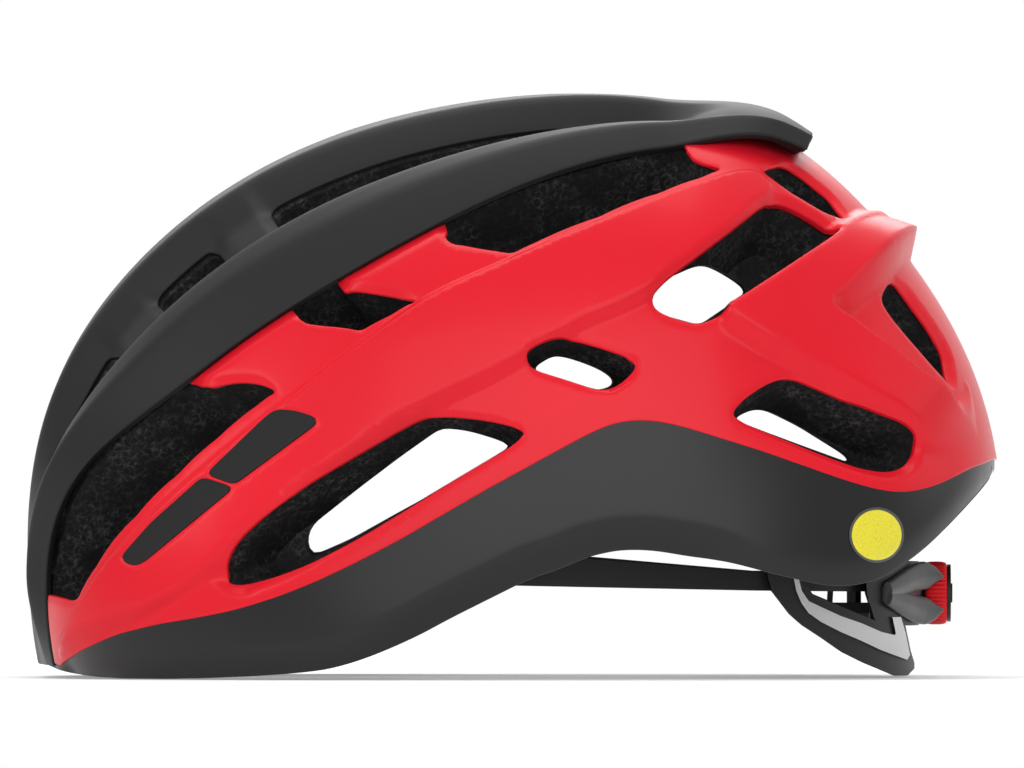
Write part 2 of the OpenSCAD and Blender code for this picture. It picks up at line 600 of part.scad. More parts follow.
module wing_inlay_right() {
    mirror([0, 1, 0]) wing_inlay_left();
}
base_x = cradle_x + cradle_in - 11.9;
base_half = 14;
base_z = [dial_z - 9, dial_z + 9];
rack_x = [base_x + 2, base_x + 4.8];
side_gap = 0.3;
teeth = 10;
pitch_r = gear_m * teeth / 2;
tip_r = pitch_r + 0.75 * gear_m;
root_r = pitch_r - 1.1 * gear_m;
rack_root = pitch_r + 1.1 * gear_m;
rack_tip = pitch_r - 0.75 * gear_m;
rack_back = 2.4;
module height_strip() {
    color([0.16, 0.16, 0.16]) {
        intersection() {
            strip_arc(0);
            translate([60, -20, 18]) cube([60, 40, strip_top - 18]);
        }
        translate([temple[0] + strip_r - strip_t, -strip_half, 18])
            cube([base_x - temple[0] - strip_r + strip_t, 2 * strip_half, 3]);
    }
}
module dial_base() {
    color([0.18, 0.18, 0.18]) difference() {
        intersection() {
            translate([base_x, -base_half, base_z[0]]) cube([30, 2 * base_half, base_z[1] - base_z[0]]);
            translate([cradle_x, 0, 0]) cylinder(r = cradle_in, h = 60, $fn = 120);
        }
        for (s = [-1, 1]) translate([rack_x[0] - side_gap, -base_half - 1, dial_z + s * (rack_root + rack_back / 2)
            - rack_back / 2 - side_gap])
            cube([rack_x[1] - rack_x[0] + 2 * side_gap, 2 * base_half + 2, rack_back + 2 * side_gap]);
        translate([rack_x[0] - side_gap, -base_half - 1, dial_z - rack_root - side_gap])
            cube([rack_x[1] - rack_x[0] + 2 * side_gap, 2 * base_half + 2, 2 * (rack_root + side_gap)]);
        translate([base_x - 1, 0, dial_z]) rotate([0, 90, 0]) cylinder(r = shaft_r + run_gap, h = 40);
    }
}
claw_t = 1.2;
claw_in = knob_r + 0.4;
claw_out = claw_in + 1.4;
knob_x = cradle_x + cradle_r + claw_t + 0.4;
claw_tip = knob_x + 0.85 * knob_len;
hand = [[-34, 21.5], [-34, 26], [-26, 29], [-16, 32], [0, 33], [16, 32], [26, 29], [34, 26], [34, 21.5],
    [26, 18.5], [16, 15.6], [0, 14.6], [-16, 15.6], [-26, 18.5]];
module claw_finger(a) {
    rotate([a, 0, 0]) translate([0, -claw_out - 1, -3.2]) cube([20, claw_out + 1, 6.4]);
}
module dial_claw() {
    color([0.45, 0.45, 0.46]) difference() {
        union() {
            intersection() {
                ring_wall(cradle_r, cradle_r + claw_t, 0, 60);
                translate([200, 0, 0]) rotate([0, -90, 0]) linear_extrude(200 - cradle_x)
                    polygon([for (p = hand) [p[1], p[0]]]);
            }
            intersection() {
                translate([cradle_x + cradle_r - 3, 0, dial_z]) rotate([0, 90, 0]) difference() {
                    cylinder(r = claw_out, h = claw_tip - cradle_x - cradle_r + 3);
                    translate([0, 0, -1]) cylinder(r = claw_in, h = 40);
                }
                translate([cradle_x + cradle_r - 4, 0, dial_z]) for (a = [-35, 35, 145, 215]) claw_finger(a);
                difference() {
                    translate([cradle_x, -60, 0]) cube([120, 120, 60]);
                    translate([cradle_x, 0, -1]) cylinder(r = cradle_r, h = 62, $fn = 120);
                }
            }
        }
        translate([cradle_x, 0, dial_z]) rotate([0, 90, 0]) cylinder(r = shaft_r + run_gap, h = 80);
    }
}

// dial body

tooth_root = 0.78 * gear_m;
tooth_tip = 0.34 * gear_m;
module dial_pinion() {
    color([0.55, 0.55, 0.56]) {
        translate([rack_x[0], 0, dial_z]) rotate([90, 0, 90]) linear_extrude(rack_x[1] - rack_x[0]) union() {
            circle(r = root_r);
            for (k = [0:teeth - 1]) rotate(90 + k * 360 / teeth)
                polygon([[root_r - 0.6, -tooth_root], [root_r, -tooth_root], [tip_r, -tooth_tip],
                    [tip_r, tooth_tip], [root_r, tooth_root], [root_r - 0.6, tooth_root]]);
        }
        translate([base_x + 0.2, 0, dial_z]) rotate([0, 90, 0]) cylinder(r = shaft_r, h = knob_x + knob_len - base_x - 0.2);
    }
}
knob_floor = knob_r - 0.7;
module dial_knob() {
    color([0.8, 0.1, 0.13]) translate([knob_x, 0, dial_z]) rotate([90, 0, 90]) linear_extrude(knob_len) difference() {
        union() {
            circle(r = knob_floor);
            for (k = [0:knob_ribs - 1]) rotate(k * 360 / knob_ribs) translate([knob_floor - 0.5, -0.55])
                square([1.2, 1.1]);
        }
        circle(r = shaft_r);
    }
}
module dial_cap() {
    color([0.1, 0.1, 0.1]) translate([knob_x + knob_len, 0, dial_z]) rotate([0, 90, 0]) {
        cylinder(r = knob_r - 1, h = 1);
        cylinder(r = 2.8, h = 1.5);
    }
}

// bands

bar_r = cradle_in - 2.3;
// side view of a band, wide at the temple and narrow at the rear
band_side = [[-62, band_z[0]], [-10, band_z[0]], [70, 24.8], [120, 24.2], [120, 29.8], [70, 30], [17, band_z[1]],
    [-62, band_z[1]]];
// clearance of the bands inside the slip liner, and where along the helmet they are widest
band_gap = 5.7;
front_x = -10;
band_half = inner_half + slip_in - band_gap;
eye_y = -(temple_in - eye_gap - eye_t / 2);
// the front arc goes through its widest place and the temple eye
front_long = front_x - temple[0];
front_deep = band_half + eye_y;
front_r = (pow(front_long, 2) + pow(front_deep, 2)) / (2 * front_deep);
front_at = [front_x, front_r - band_half];
eye_a = acos((temple[0] - front_at[0]) / front_r);
// the straight length is the common tangent of the rear arc and the front arc
apart = [front_at[0] - cradle_x, front_at[1]];
bend = 360 - acos((bar_r - front_r) / norm(apart)) - atan2(apart[1], apart[0]);
band_start = [cradle_x + bar_r * cos(bend), -bar_r * sin(bend)];
band_stop = [front_at[0] + front_r * cos(bend), front_at[1] - front_r * sin(bend)];
module sector(r, a0, a1, t) {
    big = 2 * r;
    intersection() {
        difference() {
            circle(r = r + t / 2, $fn = 180);
            circle(r = r - t / 2, $fn = 180);
        }
        polygon([[0, 0], big * [cos(a0), -sin(a0)], big * [cos((a0 + a1) / 2), -sin((a0 + a1) / 2)],
            big * [cos(a1), -sin(a1)]]);
    }
}
module band_plan() {
    translate([cradle_x, 0]) sector(bar_r, 40, bend + 0.5, band_t);
    nor = [cos(bend), -sin(bend)] * band_t / 2;
    polygon([band_start - nor, band_start + nor, band_stop + nor, band_stop - nor]);
    translate(front_at) sector(front_r, bend - 0.5, eye_a, band_t);
}
bar_a0 = acos((rack_x[0] + 1.4 - cradle_x) / bar_r);
bar_t = 2.2;
rack_end = 5.4;
// one rack with its bar and plate; up is 1 for the upper rack
module band(up) {
    z0 = up > 0 ? dial_z + rack_root : dial_z - rack_root - rack_back;
    difference() {
        union() {
            intersection() {
                translate([0, 0, 20]) linear_extrude(20) band_plan();
                side_prism(band_side);
            }
            translate([temple[0], eye_y + eye_t / 2, temple[1]]) rotate([90, 0, 0]) cylinder(r = eye_r, h = eye_t);
            translate([cradle_x, 0, z0]) linear_extrude(rack_back) sector(bar_r, bar_a0 - 1, 47, bar_t);
            if (up < 0) translate([cradle_x, 0, z0]) linear_extrude(27 - z0) sector(bar_r, 42.5, 47, bar_t);
            translate([rack_x[0], -bar_r * sin(bar_a0), z0])
                cube([rack_x[1] - rack_x[0], rack_end + bar_r * sin(bar_a0), rack_back]);
            translate([rack_x[0], 0, dial_z]) rotate([90, 0, 90]) linear_extrude(rack_x[1] - rack_x[0])
                for (k = [-4:1]) translate([(k + 0.5) * gear_m * PI, 0]) scale([1, up])
                    polygon([[-tooth_root, rack_root + 0.3], [-tooth_root, rack_root], [-tooth_tip, rack_tip],
                        [tooth_tip, rack_tip], [tooth_root, rack_root], [tooth_root, rack_root + 0.3]]);
        }
        translate([temple[0], 0, temple[1]]) rotate([90, 0, 0]) cylinder(r = pin_r + run_gap, h = 200);
    }
}
module band_left() {
    color([0.1, 0.1, 0.1]) band(1);
}
module band_right() {
    color([0.1, 0.1, 0.1]) mirror([0, 1, 0]) band(-1);
}

foam_liner();
crown_shell();
side_shell_left();
side_shell_right();
rim_shell();
inlay_panels_left();
inlay_panels_right();
reflector_disc();
strap_anchor_front_left();
strap_anchor_front_right();
strap_anchor_rear_left();
strap_anchor_rear_right();
crown_stud();
stud_cap();
slip_liner();
stud_bush();
brow_pad();
crown_pad_left();
crown_pad_right();
side_pad_left();
side_pad_right();
temple_pin_left();
temple_pin_right();
height_track();
cradle_yoke();
wing_inlay_left();
wing_inlay_right();
height_strip();
dial_base();
dial_claw();
dial_pinion();
dial_knob();
dial_cap();
band_left();
band_right();
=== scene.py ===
"""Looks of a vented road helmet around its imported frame, laid out as an add-on and run as a script.

The outer form is polar about the ear axis, a line along Y. A point has an angle u, from the front over the
top to the rear, and an angle q across, from the middle plane to the side. Lengths are millimetres until a
mesh is written.
"""

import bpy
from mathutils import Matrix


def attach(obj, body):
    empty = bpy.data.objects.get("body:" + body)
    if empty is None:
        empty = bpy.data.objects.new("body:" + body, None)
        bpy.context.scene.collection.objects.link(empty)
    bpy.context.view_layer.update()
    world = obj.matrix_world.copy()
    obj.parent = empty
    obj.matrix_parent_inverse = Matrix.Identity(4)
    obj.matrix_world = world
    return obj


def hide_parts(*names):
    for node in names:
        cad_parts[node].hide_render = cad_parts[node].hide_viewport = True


bl_info = {
    "name": "Road helmet",
    "version": (1, 0, 0),
    "blender": (4, 5, 0),
    "location": "3D View > Sidebar > Helmet",
    "description": "Shells, foam, liner, pads and finishes of a road helmet on its packed frame",
    "category": "Object",
}

import bmesh
import bpy
import numpy as np
from bpy.props import FloatProperty, FloatVectorProperty, PointerProperty
from mathutils import Vector
from mathutils.geometry import delaunay_2d_cdt

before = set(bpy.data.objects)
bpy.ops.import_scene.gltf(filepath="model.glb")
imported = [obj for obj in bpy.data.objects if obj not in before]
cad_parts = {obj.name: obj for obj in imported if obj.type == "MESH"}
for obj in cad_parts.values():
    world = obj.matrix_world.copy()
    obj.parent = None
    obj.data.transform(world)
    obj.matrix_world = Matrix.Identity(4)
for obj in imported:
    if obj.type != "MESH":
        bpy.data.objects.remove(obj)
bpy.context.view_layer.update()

# Outer form: ear axis, half width, and radius and exponent from front to rear, one entry per STEP degrees.
EAR = np.array([25.0, -8.0])
STEP = 15.0
HALF = 104.0
OUTER_R = np.array([159, 170.5, 182, 184.8, 182.8, 178.8, 176.7, 173.8, 161.5, 148.3, 134, 118])
OUTER_P = np.array([3, 3, 2.7, 2.5, 2.4, 2.35, 2.35, 2.35, 2.35, 2.4, 2.45, 2.5])
# Head cavity: foam at the sides and along u, and the exponent of its section.
FOAM_SIDE = 24.0
FOAM_T = np.array([30, 32, 35, 32, 29, 28, 29.5, 32.5, 32.5, 40, 48, 52.0])
INNER_P = 2.35
# Crown: half width along u, and the angles where it starts and ends.
CROWN_Y = np.array([44, 47, 67, 74, 73.3, 67, 56, 40, 22, 20, 20, 20.0])
CROWN_START, CROWN_END = 4.2, 110.5
# Millimetres per degree of u and q, and per degree of u and share of the crown's width.
SCALE = np.array([3.1, 2.6])
CROWN_SCALE = np.array([3.1, 66.0])

# Outlines in side view, as x and z.
RIM_EDGE = [(-160, 7), (-135, 3.5), (-128, 1), (-118, 0), (-96, 0), (-72, 1), (-60, 2), (-53, 3), (-43, 6),
            (-31, 11.5), (-20, 17.5), (-8, 23.5), (5, 30), (13, 32.5), (21, 36), (27, 37.5), (32, 38.3),
            (40, 38.3), (49, 37), (60, 35), (73, 31.3), (84, 28.7), (91, 27.2), (97, 27), (101, 27.5),
            (107, 29), (114, 33.4), (119.5, 37.7), (125.3, 43.2), (131, 49), (137, 55.4), (141, 60.6)]
RIM_TOP = [(-132, 2.6), (-125, 7.5), (-114, 12.5), (-102, 15.5), (-90, 17.5), (-79, 19.8), (-67, 23.6),
           (-56, 28), (-44, 33.7), (-32, 40), (-9, 53.4), (14, 66), (23, 70.8), (29, 73.2), (35, 74.2),
           (41, 74), (49, 72.4), (72, 65.3), (95, 57.2), (104, 54.5), (111, 53.4), (116, 53.8), (122, 55.3),
           (128, 58), (133, 60.6), (138, 62)]
VENT_FRONT = [(-131, 22.6), (-128, 21.5), (-125.3, 22), (-119.5, 32), (-108, 46.3), (-96, 58.2),
              (-84.7, 68.6), (-73, 78.3), (-67.6, 82.4), (-70.2, 84.4), (-74.5, 85.6), (-79, 85.8),
              (-84.7, 85), (-92.5, 82.7)]
VENT_UPPER = [(-62.4, 104), (-60, 101.8), (-55.7, 101), (-43.5, 99.5), (-35, 104), (-26.7, 108.8),
              (-32.5, 110.2), (-41, 111.7), (-47, 112.5), (-50, 112.4)]
VENT_LONG = [(-19, 130.5), (-20.3, 127.6), (-18, 125), (-9, 123.3), (0, 121.8), (8, 125.6), (25.5, 132.6),
             (43, 139.5), (54.5, 143.8), (61, 146.5), (54.5, 148.8), (48.7, 152)]
VENT_SIDE = [(-84, 30), (-82, 26), (-70, 28.4), (-57, 33), (-44, 39.7), (-21, 53.7), (-0.3, 66), (4.4, 70.2),
             (0.9, 72.8), (-9, 75), (-21, 76), (-27, 74.8), (-38, 68.2), (-55.7, 57), (-68.7, 47.6),
             (-79, 38.3)]
VENT_SMALL = [(3.5, 92.2), (5.2, 88.7), (14, 86), (24.4, 82.7), (29.6, 83.5), (36.8, 89.6), (34.2, 92.5),
              (25.5, 95.4), (17.4, 97.7), (12.8, 97.4), (6.7, 94.8)]
VENT_REAR = [(39.4, 108.8), (41.5, 105), (48.7, 102.4), (54.5, 101.2), (63, 105.3), (78, 115), (92.2, 124.4),
             (94.3, 126.7), (91.6, 130.2), (83.5, 135.4), (77.7, 137.8), (73.7, 137.2), (63, 128.5),
             (51.6, 119.5), (43, 113)]
VENT_LOW = [(62.6, 76), (65, 74.2), (75, 70.2), (89, 64.7), (101, 60.6), (109.6, 59.5), (114.8, 61.2),
            (118, 66.4), (114.8, 71.3), (104, 76.6), (89, 83.2), (80, 87), (73.4, 85.3), (66, 80.3)]
VENT_TAIL = [(71.5, 146.5), (80, 140), (90.5, 133.8), (97.5, 131.5), (92.5, 139), (84, 145.8), (78.6, 148.8)]
VENT_EXIT = [(106, 108.8), (109, 104), (114, 98), (121, 90), (127.3, 83.2), (126, 94.3), (121, 102.4),
             (114, 111.7), (110.5, 114.8), (108, 113.4)]
# Holes that run straight through to the head cavity.
HOLES = [
    [(-21, 71.3), (-18, 71.6), (-12, 70.8), (-3.5, 68.2), (-0.3, 66.4), (-3.5, 64), (-15, 56.8),
     (-32.5, 47.3), (-47, 39.2), (-57, 34.8), (-59, 35.7), (-59.7, 39.2), (-58.3, 43.2), (-44, 54.5),
     (-32.5, 63.2)],
    [(5.5, 88.5), (11, 92.2), (14, 92.5), (18.3, 91.4), (24, 89.3), (27.6, 87.3), (29.3, 85.6), (29, 83.8),
     (25.5, 82.7), (22.6, 83.2), (14, 85.8)],
    [(39.2, 108.5), (39.7, 110.5), (41.2, 112.5), (45.8, 115.4), (53.7, 118.9), (57.4, 118.6), (63, 115.4),
     (66.7, 112.8), (67.6, 111), (66.4, 109.6), (54.2, 101.3), (43, 104.4), (40, 106)],
    [(63.8, 74.2), (66, 75.7), (69, 76.9), (72, 76.9), (74.8, 76.3), (83.5, 72), (96.6, 63.8), (98, 62),
     (97, 61.8), (83.5, 66.7), (72, 71)],
]
PANELS = [
    [(-110.5, 33.8), (-107.5, 32), (-105, 32.4), (-102.5, 34.3), (-79, 53.8), (-87.5, 56.5), (-102, 43.5)],
    [(-86, 57.7), (-78.5, 55), (-56, 71.6), (-55.2, 72.8), (-56, 73.7), (-61.5, 75.4), (-66.5, 75.7),
     (-69, 74.2)],
]
MAIN_RIB = [(-132, 3), (-128, 14.5), (-119.5, 30), (-108, 43.9), (-96.3, 55.2), (-84.7, 65.4), (-73, 75),
            (-61.5, 84.1), (-50, 92.8), (-34, 104.4), (-21, 112.5), (-3.5, 120), (14, 127.6), (31.3, 134.3),
            (43, 138.6), (60.3, 145), (70, 147), (75, 142.5), (73.5, 138), (69, 134), (60.3, 127), (53, 121),
            (41.5, 112.5), (31.3, 107.3), (19.7, 103), (15, 100), (3.8, 93.7), (-3.5, 89.3), (-21, 81.2),
            (-25.2, 79.2), (-50, 62.4), (-61.5, 53), (-73, 44.4), (-84.7, 34.2), (-92, 28), (-106, 19),
            (-120, 10)]
WING_UPPER = [(61, 103.5), (64, 107), (78, 116.4), (92, 125.8), (100, 130.5)]
WING_LOWER = [(112.5, 123.4), (108, 121.2), (100.4, 115.1), (93.5, 108.5), (89.5, 105.5), (102.5, 96),
              (115.5, 85), (128, 75), (136, 68), (134, 64), (121, 67.3), (111.8, 74.7), (100.5, 81.5),
              (83.2, 90.5), (71.8, 97)]
# Angles u of the wing's two edges at the middle plane, and of the crown's vents. The channel vents lie
# between two shares of the crown's width, and the middle vents have one half width.
WING_FRONT, WING_BACK = 120.9, 123.9
CHANNEL_VENTS = [(23, 36), (42, 50), (56, 87)]
MIDDLE_VENTS = [(30, 45), (52, 66), (86, 97)]
BRIDGES = [(37, 41.5), (51, 55.5)]
CHANNEL_NEAR, CHANNEL_FAR = 0.475, 0.715
MIDDLE_HALF = 8.0
VENT_CORNER = 4.0
# Angles u where the side shells and both edges of the rim meet behind, and how far the side shells' lower
# edge and the rim's hidden top lie over the line between them.
SIDE_END, RIM_LOW_END, RIM_TOP_END = 148.6, 149.6, 148.5
SIDE_OVER, RIM_OVER = 0.15, 1.6

# Rises of the shells.
KNEE = 0.07
RIB_HIGH = 2.6
WING_HIGH, WING_DIP, WING_KICK = 4.2, 0.8, 5.0
GROOVE = 2.0
PANEL_DEEP = 0.7
RIM_SUNK = -0.25
INLAY_HIGH, INLAY_T = 0.62, 0.5
CHANNEL_DEEP, BRIDGE_HIGH, SHOULDER_HIGH, TAIL_HIGH = 8.0, 2.2, 0.9, 6.5
CREST_HIGH, CREST_FRONT = 2.7, 1.3
# Lip profiles: rows of the quarter round, and how far down the rows of the wall lie.
ARC_ROWS = 4
WALL_ROWS = np.array([0.35, 0.7, 1.0])
# Foam and liner: reach of their grids, depth of the foam under the shells, its share in the groove at the
# front, the core that slabs start from, the faces of the liner, and the seat of the pads.
GRID_U, GRID_Q = 162, 88
FOAM_UNDER = 1.9
GROOVE_FILL = 0.8
CORE_R = 3.0
SLIP_OUT, SLIP_IN = -2.6, -3.8
PAD_SEAT = -3.95
ABSENT = 99.0
# Vent tools: how far they stand out, where they start to narrow, how deep a pocket is, and how much a vent
# that runs through to the head cavity narrows.
TOOL_OUT, TOOL_FLUSH, POCKET = 14.0, -4.0, -17.0
POCKET_SHARE = 0.82
DEEP_VENTS = {"front": 0.8, "upper": 0.8, "long": 0.8, "tail": 0.75, "exit": 0.75}
# Depth of the shell's wall in each closed vent, as a share of its full depth.
CLOSED_VENTS = {"side": 1, "small": 1, "rear": 1, "low": 1, "tail": 0.4, "exit": 0.4}
# Pockets: anchors with their depth, height and radius, the crown stud in the foam and its clearance in the
# liner as bottom, top and radius, and two corners of the dial's bay.
ANCHORS = [(-36, 88.7, 12), (62, 86.8, 36.5)]
ANCHOR_BELOW, ANCHOR_ABOVE, ANCHOR_R = 30, 9.15, 7.15
STUD_X = -6.0
STUD_HOLE = (128, 147, 4.15)
STUD_CLEAR = (125, 150, 6.6)
DIAL_BAY = ((80, -53, -60), (130, 53, 37))
# Disc, dial and the ring that the cradle follows.
DISC_X, DISC_Z, DISC_R = 104.8, 41.0, 7.8
DISC_HIGH, DISC_T = 0.15, 0.5
DIAL_Z = 23.8
RING_X, RING_R = 66.0, 52.0
# Stage: floor in millimetres and strength of the world; in metres, the name, place, width and watts of each
# lamp, what they aim at, and the camera.
FLOOR = [(-1000, -1000, -0.6), (1000, -1000, -0.6), (1000, 900, -0.6), (-1000, 900, -0.6)]
WORLD_DIM = 0.22
LAMPS = [
    ("top", (0.0, 0.2, 1.7), 1.4, 16.5),
    ("left", (-1.6, -1.3, 1.1), 1.0, 12.0),
    ("front", (0.2, -2.1, 1.0), 1.6, 20.0),
    ("back", (0.0, 1.9, 1.2), 1.2, 12.0),
    ("rear", (2.2, 0.2, 1.0), 1.2, 4.0),
]
AIM = (0, 0, 0.08)
CAMERA_AT = (0.0, -9.0, 0.0844)
LENS = 1091.0
SENSOR = 36.0
FAR = 50.0


def natural(tab):
    """Second differences of the natural cubic spline through evenly spaced values."""
    n = len(tab)
    k = np.arange(1, n - 1)
    m = np.eye(n)
    m[k, k] = 4
    m[k, k - 1] = 1
    m[k, k + 1] = 1
    r = np.zeros(n)
    r[k] = 6 * (tab[2:] - 2 * tab[1:-1] + tab[:-2])
    return np.linalg.solve(m, r)


def along(tab, u):
    """Value at angle u of the cubic spline through a table with one entry per 15 degrees."""
    s = np.clip(np.asarray(u, float) / STEP, 0, len(tab) - 1.0001)
    i = s.astype(int)
    t = s - i
    a = 1 - t
    c = natural(tab)
    return a * tab[i] + t * tab[i + 1] + ((a ** 3 - a) * c[i] + (t ** 3 - t) * c[i + 1]) / 6


def ease(a, b, v):
    """Smooth step from 0 at a to 1 at b."""
    t = np.clip((np.asarray(v, float) - a) / (b - a), 0, 1)
    return t * t * (3 - 2 * t)


def ramp(v, a, b, r):
    """Straight rise from 0 at a to 1 at b whose two knees are rounded over r on each side."""
    def area(s):
        inner = np.clip(s, a, b)
        return (inner - a) ** 2 / (2 * (b - a)) + np.maximum(s - b, 0)
    v = np.asarray(v, float)
    return (area(v + r) - area(v - r)) / (2 * r)


def unit(v):
    """Vectors at length 1."""
    return v / np.maximum(np.linalg.norm(v, axis=-1, keepdims=True), 1e-12)


def circle(count):
    """Angles of count points round a circle."""
    return np.linspace(0, 2 * np.pi, count, endpoint=False)


def cross_section(q, p):
    """Unit superellipse of exponent p at polar angle q, as its share outwards and its share sideways."""
    c = np.cos(np.radians(q))
    s = np.sin(np.radians(q))
    g = (np.abs(c) ** p + np.abs(s) ** p) ** (-1 / p)
    return g * c, g * s


def polar(u, rho, y):
    """Point at a distance rho from the ear axis, in the half plane that u turns about it, at width y."""
    turn = np.radians(u)
    return np.stack([EAR[0] - rho * np.cos(turn), y, EAR[1] + rho * np.sin(turn)], -1)


def outer_point(u, q, d):
    """Point of the outer form raised by d: a superellipse in u's half plane about the ear axis."""
    u, q, d = np.broadcast_arrays(np.asarray(u, float), q, d)
    c, s = cross_section(q, along(OUTER_P, u))
    return polar(u, (along(OUTER_R, u) + d) * c, (HALF + d) * s)


def inner_radius(u):
    """Distance of the head cavity from the ear axis at the middle plane."""
    return along(OUTER_R, u) - along(FOAM_T, u)


def inner_point(u, q, d):
    """Point of the head cavity moved outwards by d, in the same polar form as the outer one."""
    u, q, d = np.broadcast_arrays(np.asarray(u, float), q, d)
    c, s = cross_section(q, INNER_P)
    return polar(u, (inner_radius(u) + d) * c, (HALF - FOAM_SIDE + d) * s)


def angle_grid(rows, cols):
    """Grid of both angles over the foam and the liner."""
    return np.meshgrid(np.linspace(0, GRID_U, rows), np.linspace(-GRID_Q, GRID_Q, cols), indexing="ij")


def q_of_width(u, y):
    """Angle across at which the outer form is y wide."""
    p = along(OUTER_P, u)
    v = np.clip(np.abs(y) / HALF, 0, 1)
    return np.sign(y) * np.degrees(np.arctan2(v, np.maximum(1 - v ** p, 0) ** (1 / p)))


def crown_side(u, share):
    """Both angles of a line at a share of the crown's half width."""
    return np.stack([u, q_of_width(u, share * along(CROWN_Y, u))], -1)


def chart(points):
    """Angles u and q of side-view points x, z on the right half of the outer form."""
    p = np.asarray(points, float)
    u = np.degrees(np.arctan2(p[:, 1] - EAR[1], EAR[0] - p[:, 0]))
    e = along(OUTER_P, u)
    c = np.minimum(np.hypot(p[:, 0] - EAR[0], p[:, 1] - EAR[1]) / along(OUTER_R, u), 1)
    return np.stack([u, np.degrees(np.arctan2((1 - c ** e) ** (1 / e), c))], -1)


def rounded(points, r, steps=6):
    """Closed outline whose corners are quadratic curves that leave each edge r before the corner."""
    p = np.asarray(points, float)
    back = np.roll(p, 1, 0) - p
    ahead = np.roll(p, -1, 0) - p
    lb = np.linalg.norm(back, axis=1, keepdims=True)
    la = np.linalg.norm(ahead, axis=1, keepdims=True)
    a = p + back / lb * np.minimum(r, 0.48 * lb)
    b = p + ahead / la * np.minimum(r, 0.48 * la)
    t = np.linspace(0, 1, steps + 1)[None, :, None]
    bend = (1 - t) ** 2 * a[:, None] + 2 * t * (1 - t) * p[:, None] + t * t * b[:, None]
    return bend.reshape(-1, p.shape[1])


def travelled(path):
    """Distance along a path at each of its points."""
    return np.concatenate([[0], np.cumsum(np.linalg.norm(np.diff(path, axis=0), axis=1))])


def at_distance(path, s, t):
    """Points of a path at the distances t, where s are those of its own points."""
    return np.stack([np.interp(t, s, path[:, k]) for k in range(path.shape[1])], -1)


def resample(loop, step, count=0):
    """Closed loop cut into equal lengths of about step, or into count lengths."""
    p = np.vstack([loop, loop[:1]])
    s = travelled(p)
    n = count or max(int(s[-1] / step), 8)
    return at_distance(p, s, np.arange(n) * s[-1] / n)


def resample_open(path, count):
    """Open path cut into count points at equal distances."""
    s = travelled(path)
    return at_distance(path, s, np.linspace(0, s[-1], count))


def edge_line(points, r, lift=0.0):
    """Angles along an open side-view line with rounded corners, raised by lift."""
    return chart(resample_open(rounded(np.array(points) + [0, lift], r)[3:-3], 400))


def turned(loop, way):
    """The loop in counter-clockwise order for way 1, clockwise for way -1."""
    after = np.roll(loop, -1, 0)
    area = np.sum(loop[:, 0] * after[:, 1] - after[:, 0] * loop[:, 1])
    return loop if area * way > 0 else loop[::-1]


def sideways(loop):
    """Unit direction out of a closed counter-clockwise loop at each point."""
    t = np.roll(loop, -1, 0) - np.roll(loop, 1, 0)
    return unit(np.stack([t[:, 1], -t[:, 0]], -1))


def grown(loop, amount):
    """Closed counter-clockwise loop moved outwards by an amount."""
    return loop + sideways(loop) * amount


def inside(p, loop):
    """Even-odd test of points against a closed loop."""
    a = loop
    b = np.roll(loop, -1, 0)
    up = (a[:, 1] > p[:, 1:2]) != (b[:, 1] > p[:, 1:2])
    dy = np.where(b[:, 1] == a[:, 1], 1e-12, b[:, 1] - a[:, 1])
    x = a[:, 0] + (p[:, 1:2] - a[:, 1]) * (b[:, 0] - a[:, 0]) / dy
    return np.sum(up & (p[:, 0:1] < x), axis=1) % 2 == 1


def feet(p, line, closed):
    """Foot of each point on each stretch of a line: its start, span, the offset and the share of the span."""
    a = line if closed else line[:-1]
    d = (np.roll(line, -1, 0) if closed else line[1:]) - a
    w = p[:, None] - a
    t = np.clip(np.sum(w * d, -1) / np.maximum(np.sum(d * d, -1), 1e-12), 0, 1)
    return a, d, w, t[..., None]


def reach(p, line, closed=True):
    """Shortest distance from each point to a polyline, in space or in a plane."""
    _, d, w, t = feet(p, line, closed)
    return np.sqrt(np.min(np.sum((w - t * d) ** 2, -1), axis=1))


def closest(p, line):
    """Nearest point of a closed polyline to each point."""
    a, d, _, t = feet(p, line, True)
    q = a + t * d
    k = np.argmin(np.sum((p[:, None] - q) ** 2, -1), axis=1)
    return q[np.arange(len(p)), k]


class Mark:
    """An outline on the right half of the outer form, in angles and in space."""

    def __init__(self, uq):
        self.uq = turned(resample(uq * SCALE, 1.3), 1) / SCALE
        self.space = outer_point(*self.uq.T, 0.0)
        self.low = self.uq.min(0)
        self.high = self.uq.max(0)

    def near(self, uq, margin):
        """Which points lie in the outline's box of angles, widened by a margin in millimetres."""
        m = margin / SCALE * np.array([1, 1.6])
        return np.all((uq > self.low - m) & (uq < self.high + m), axis=1)


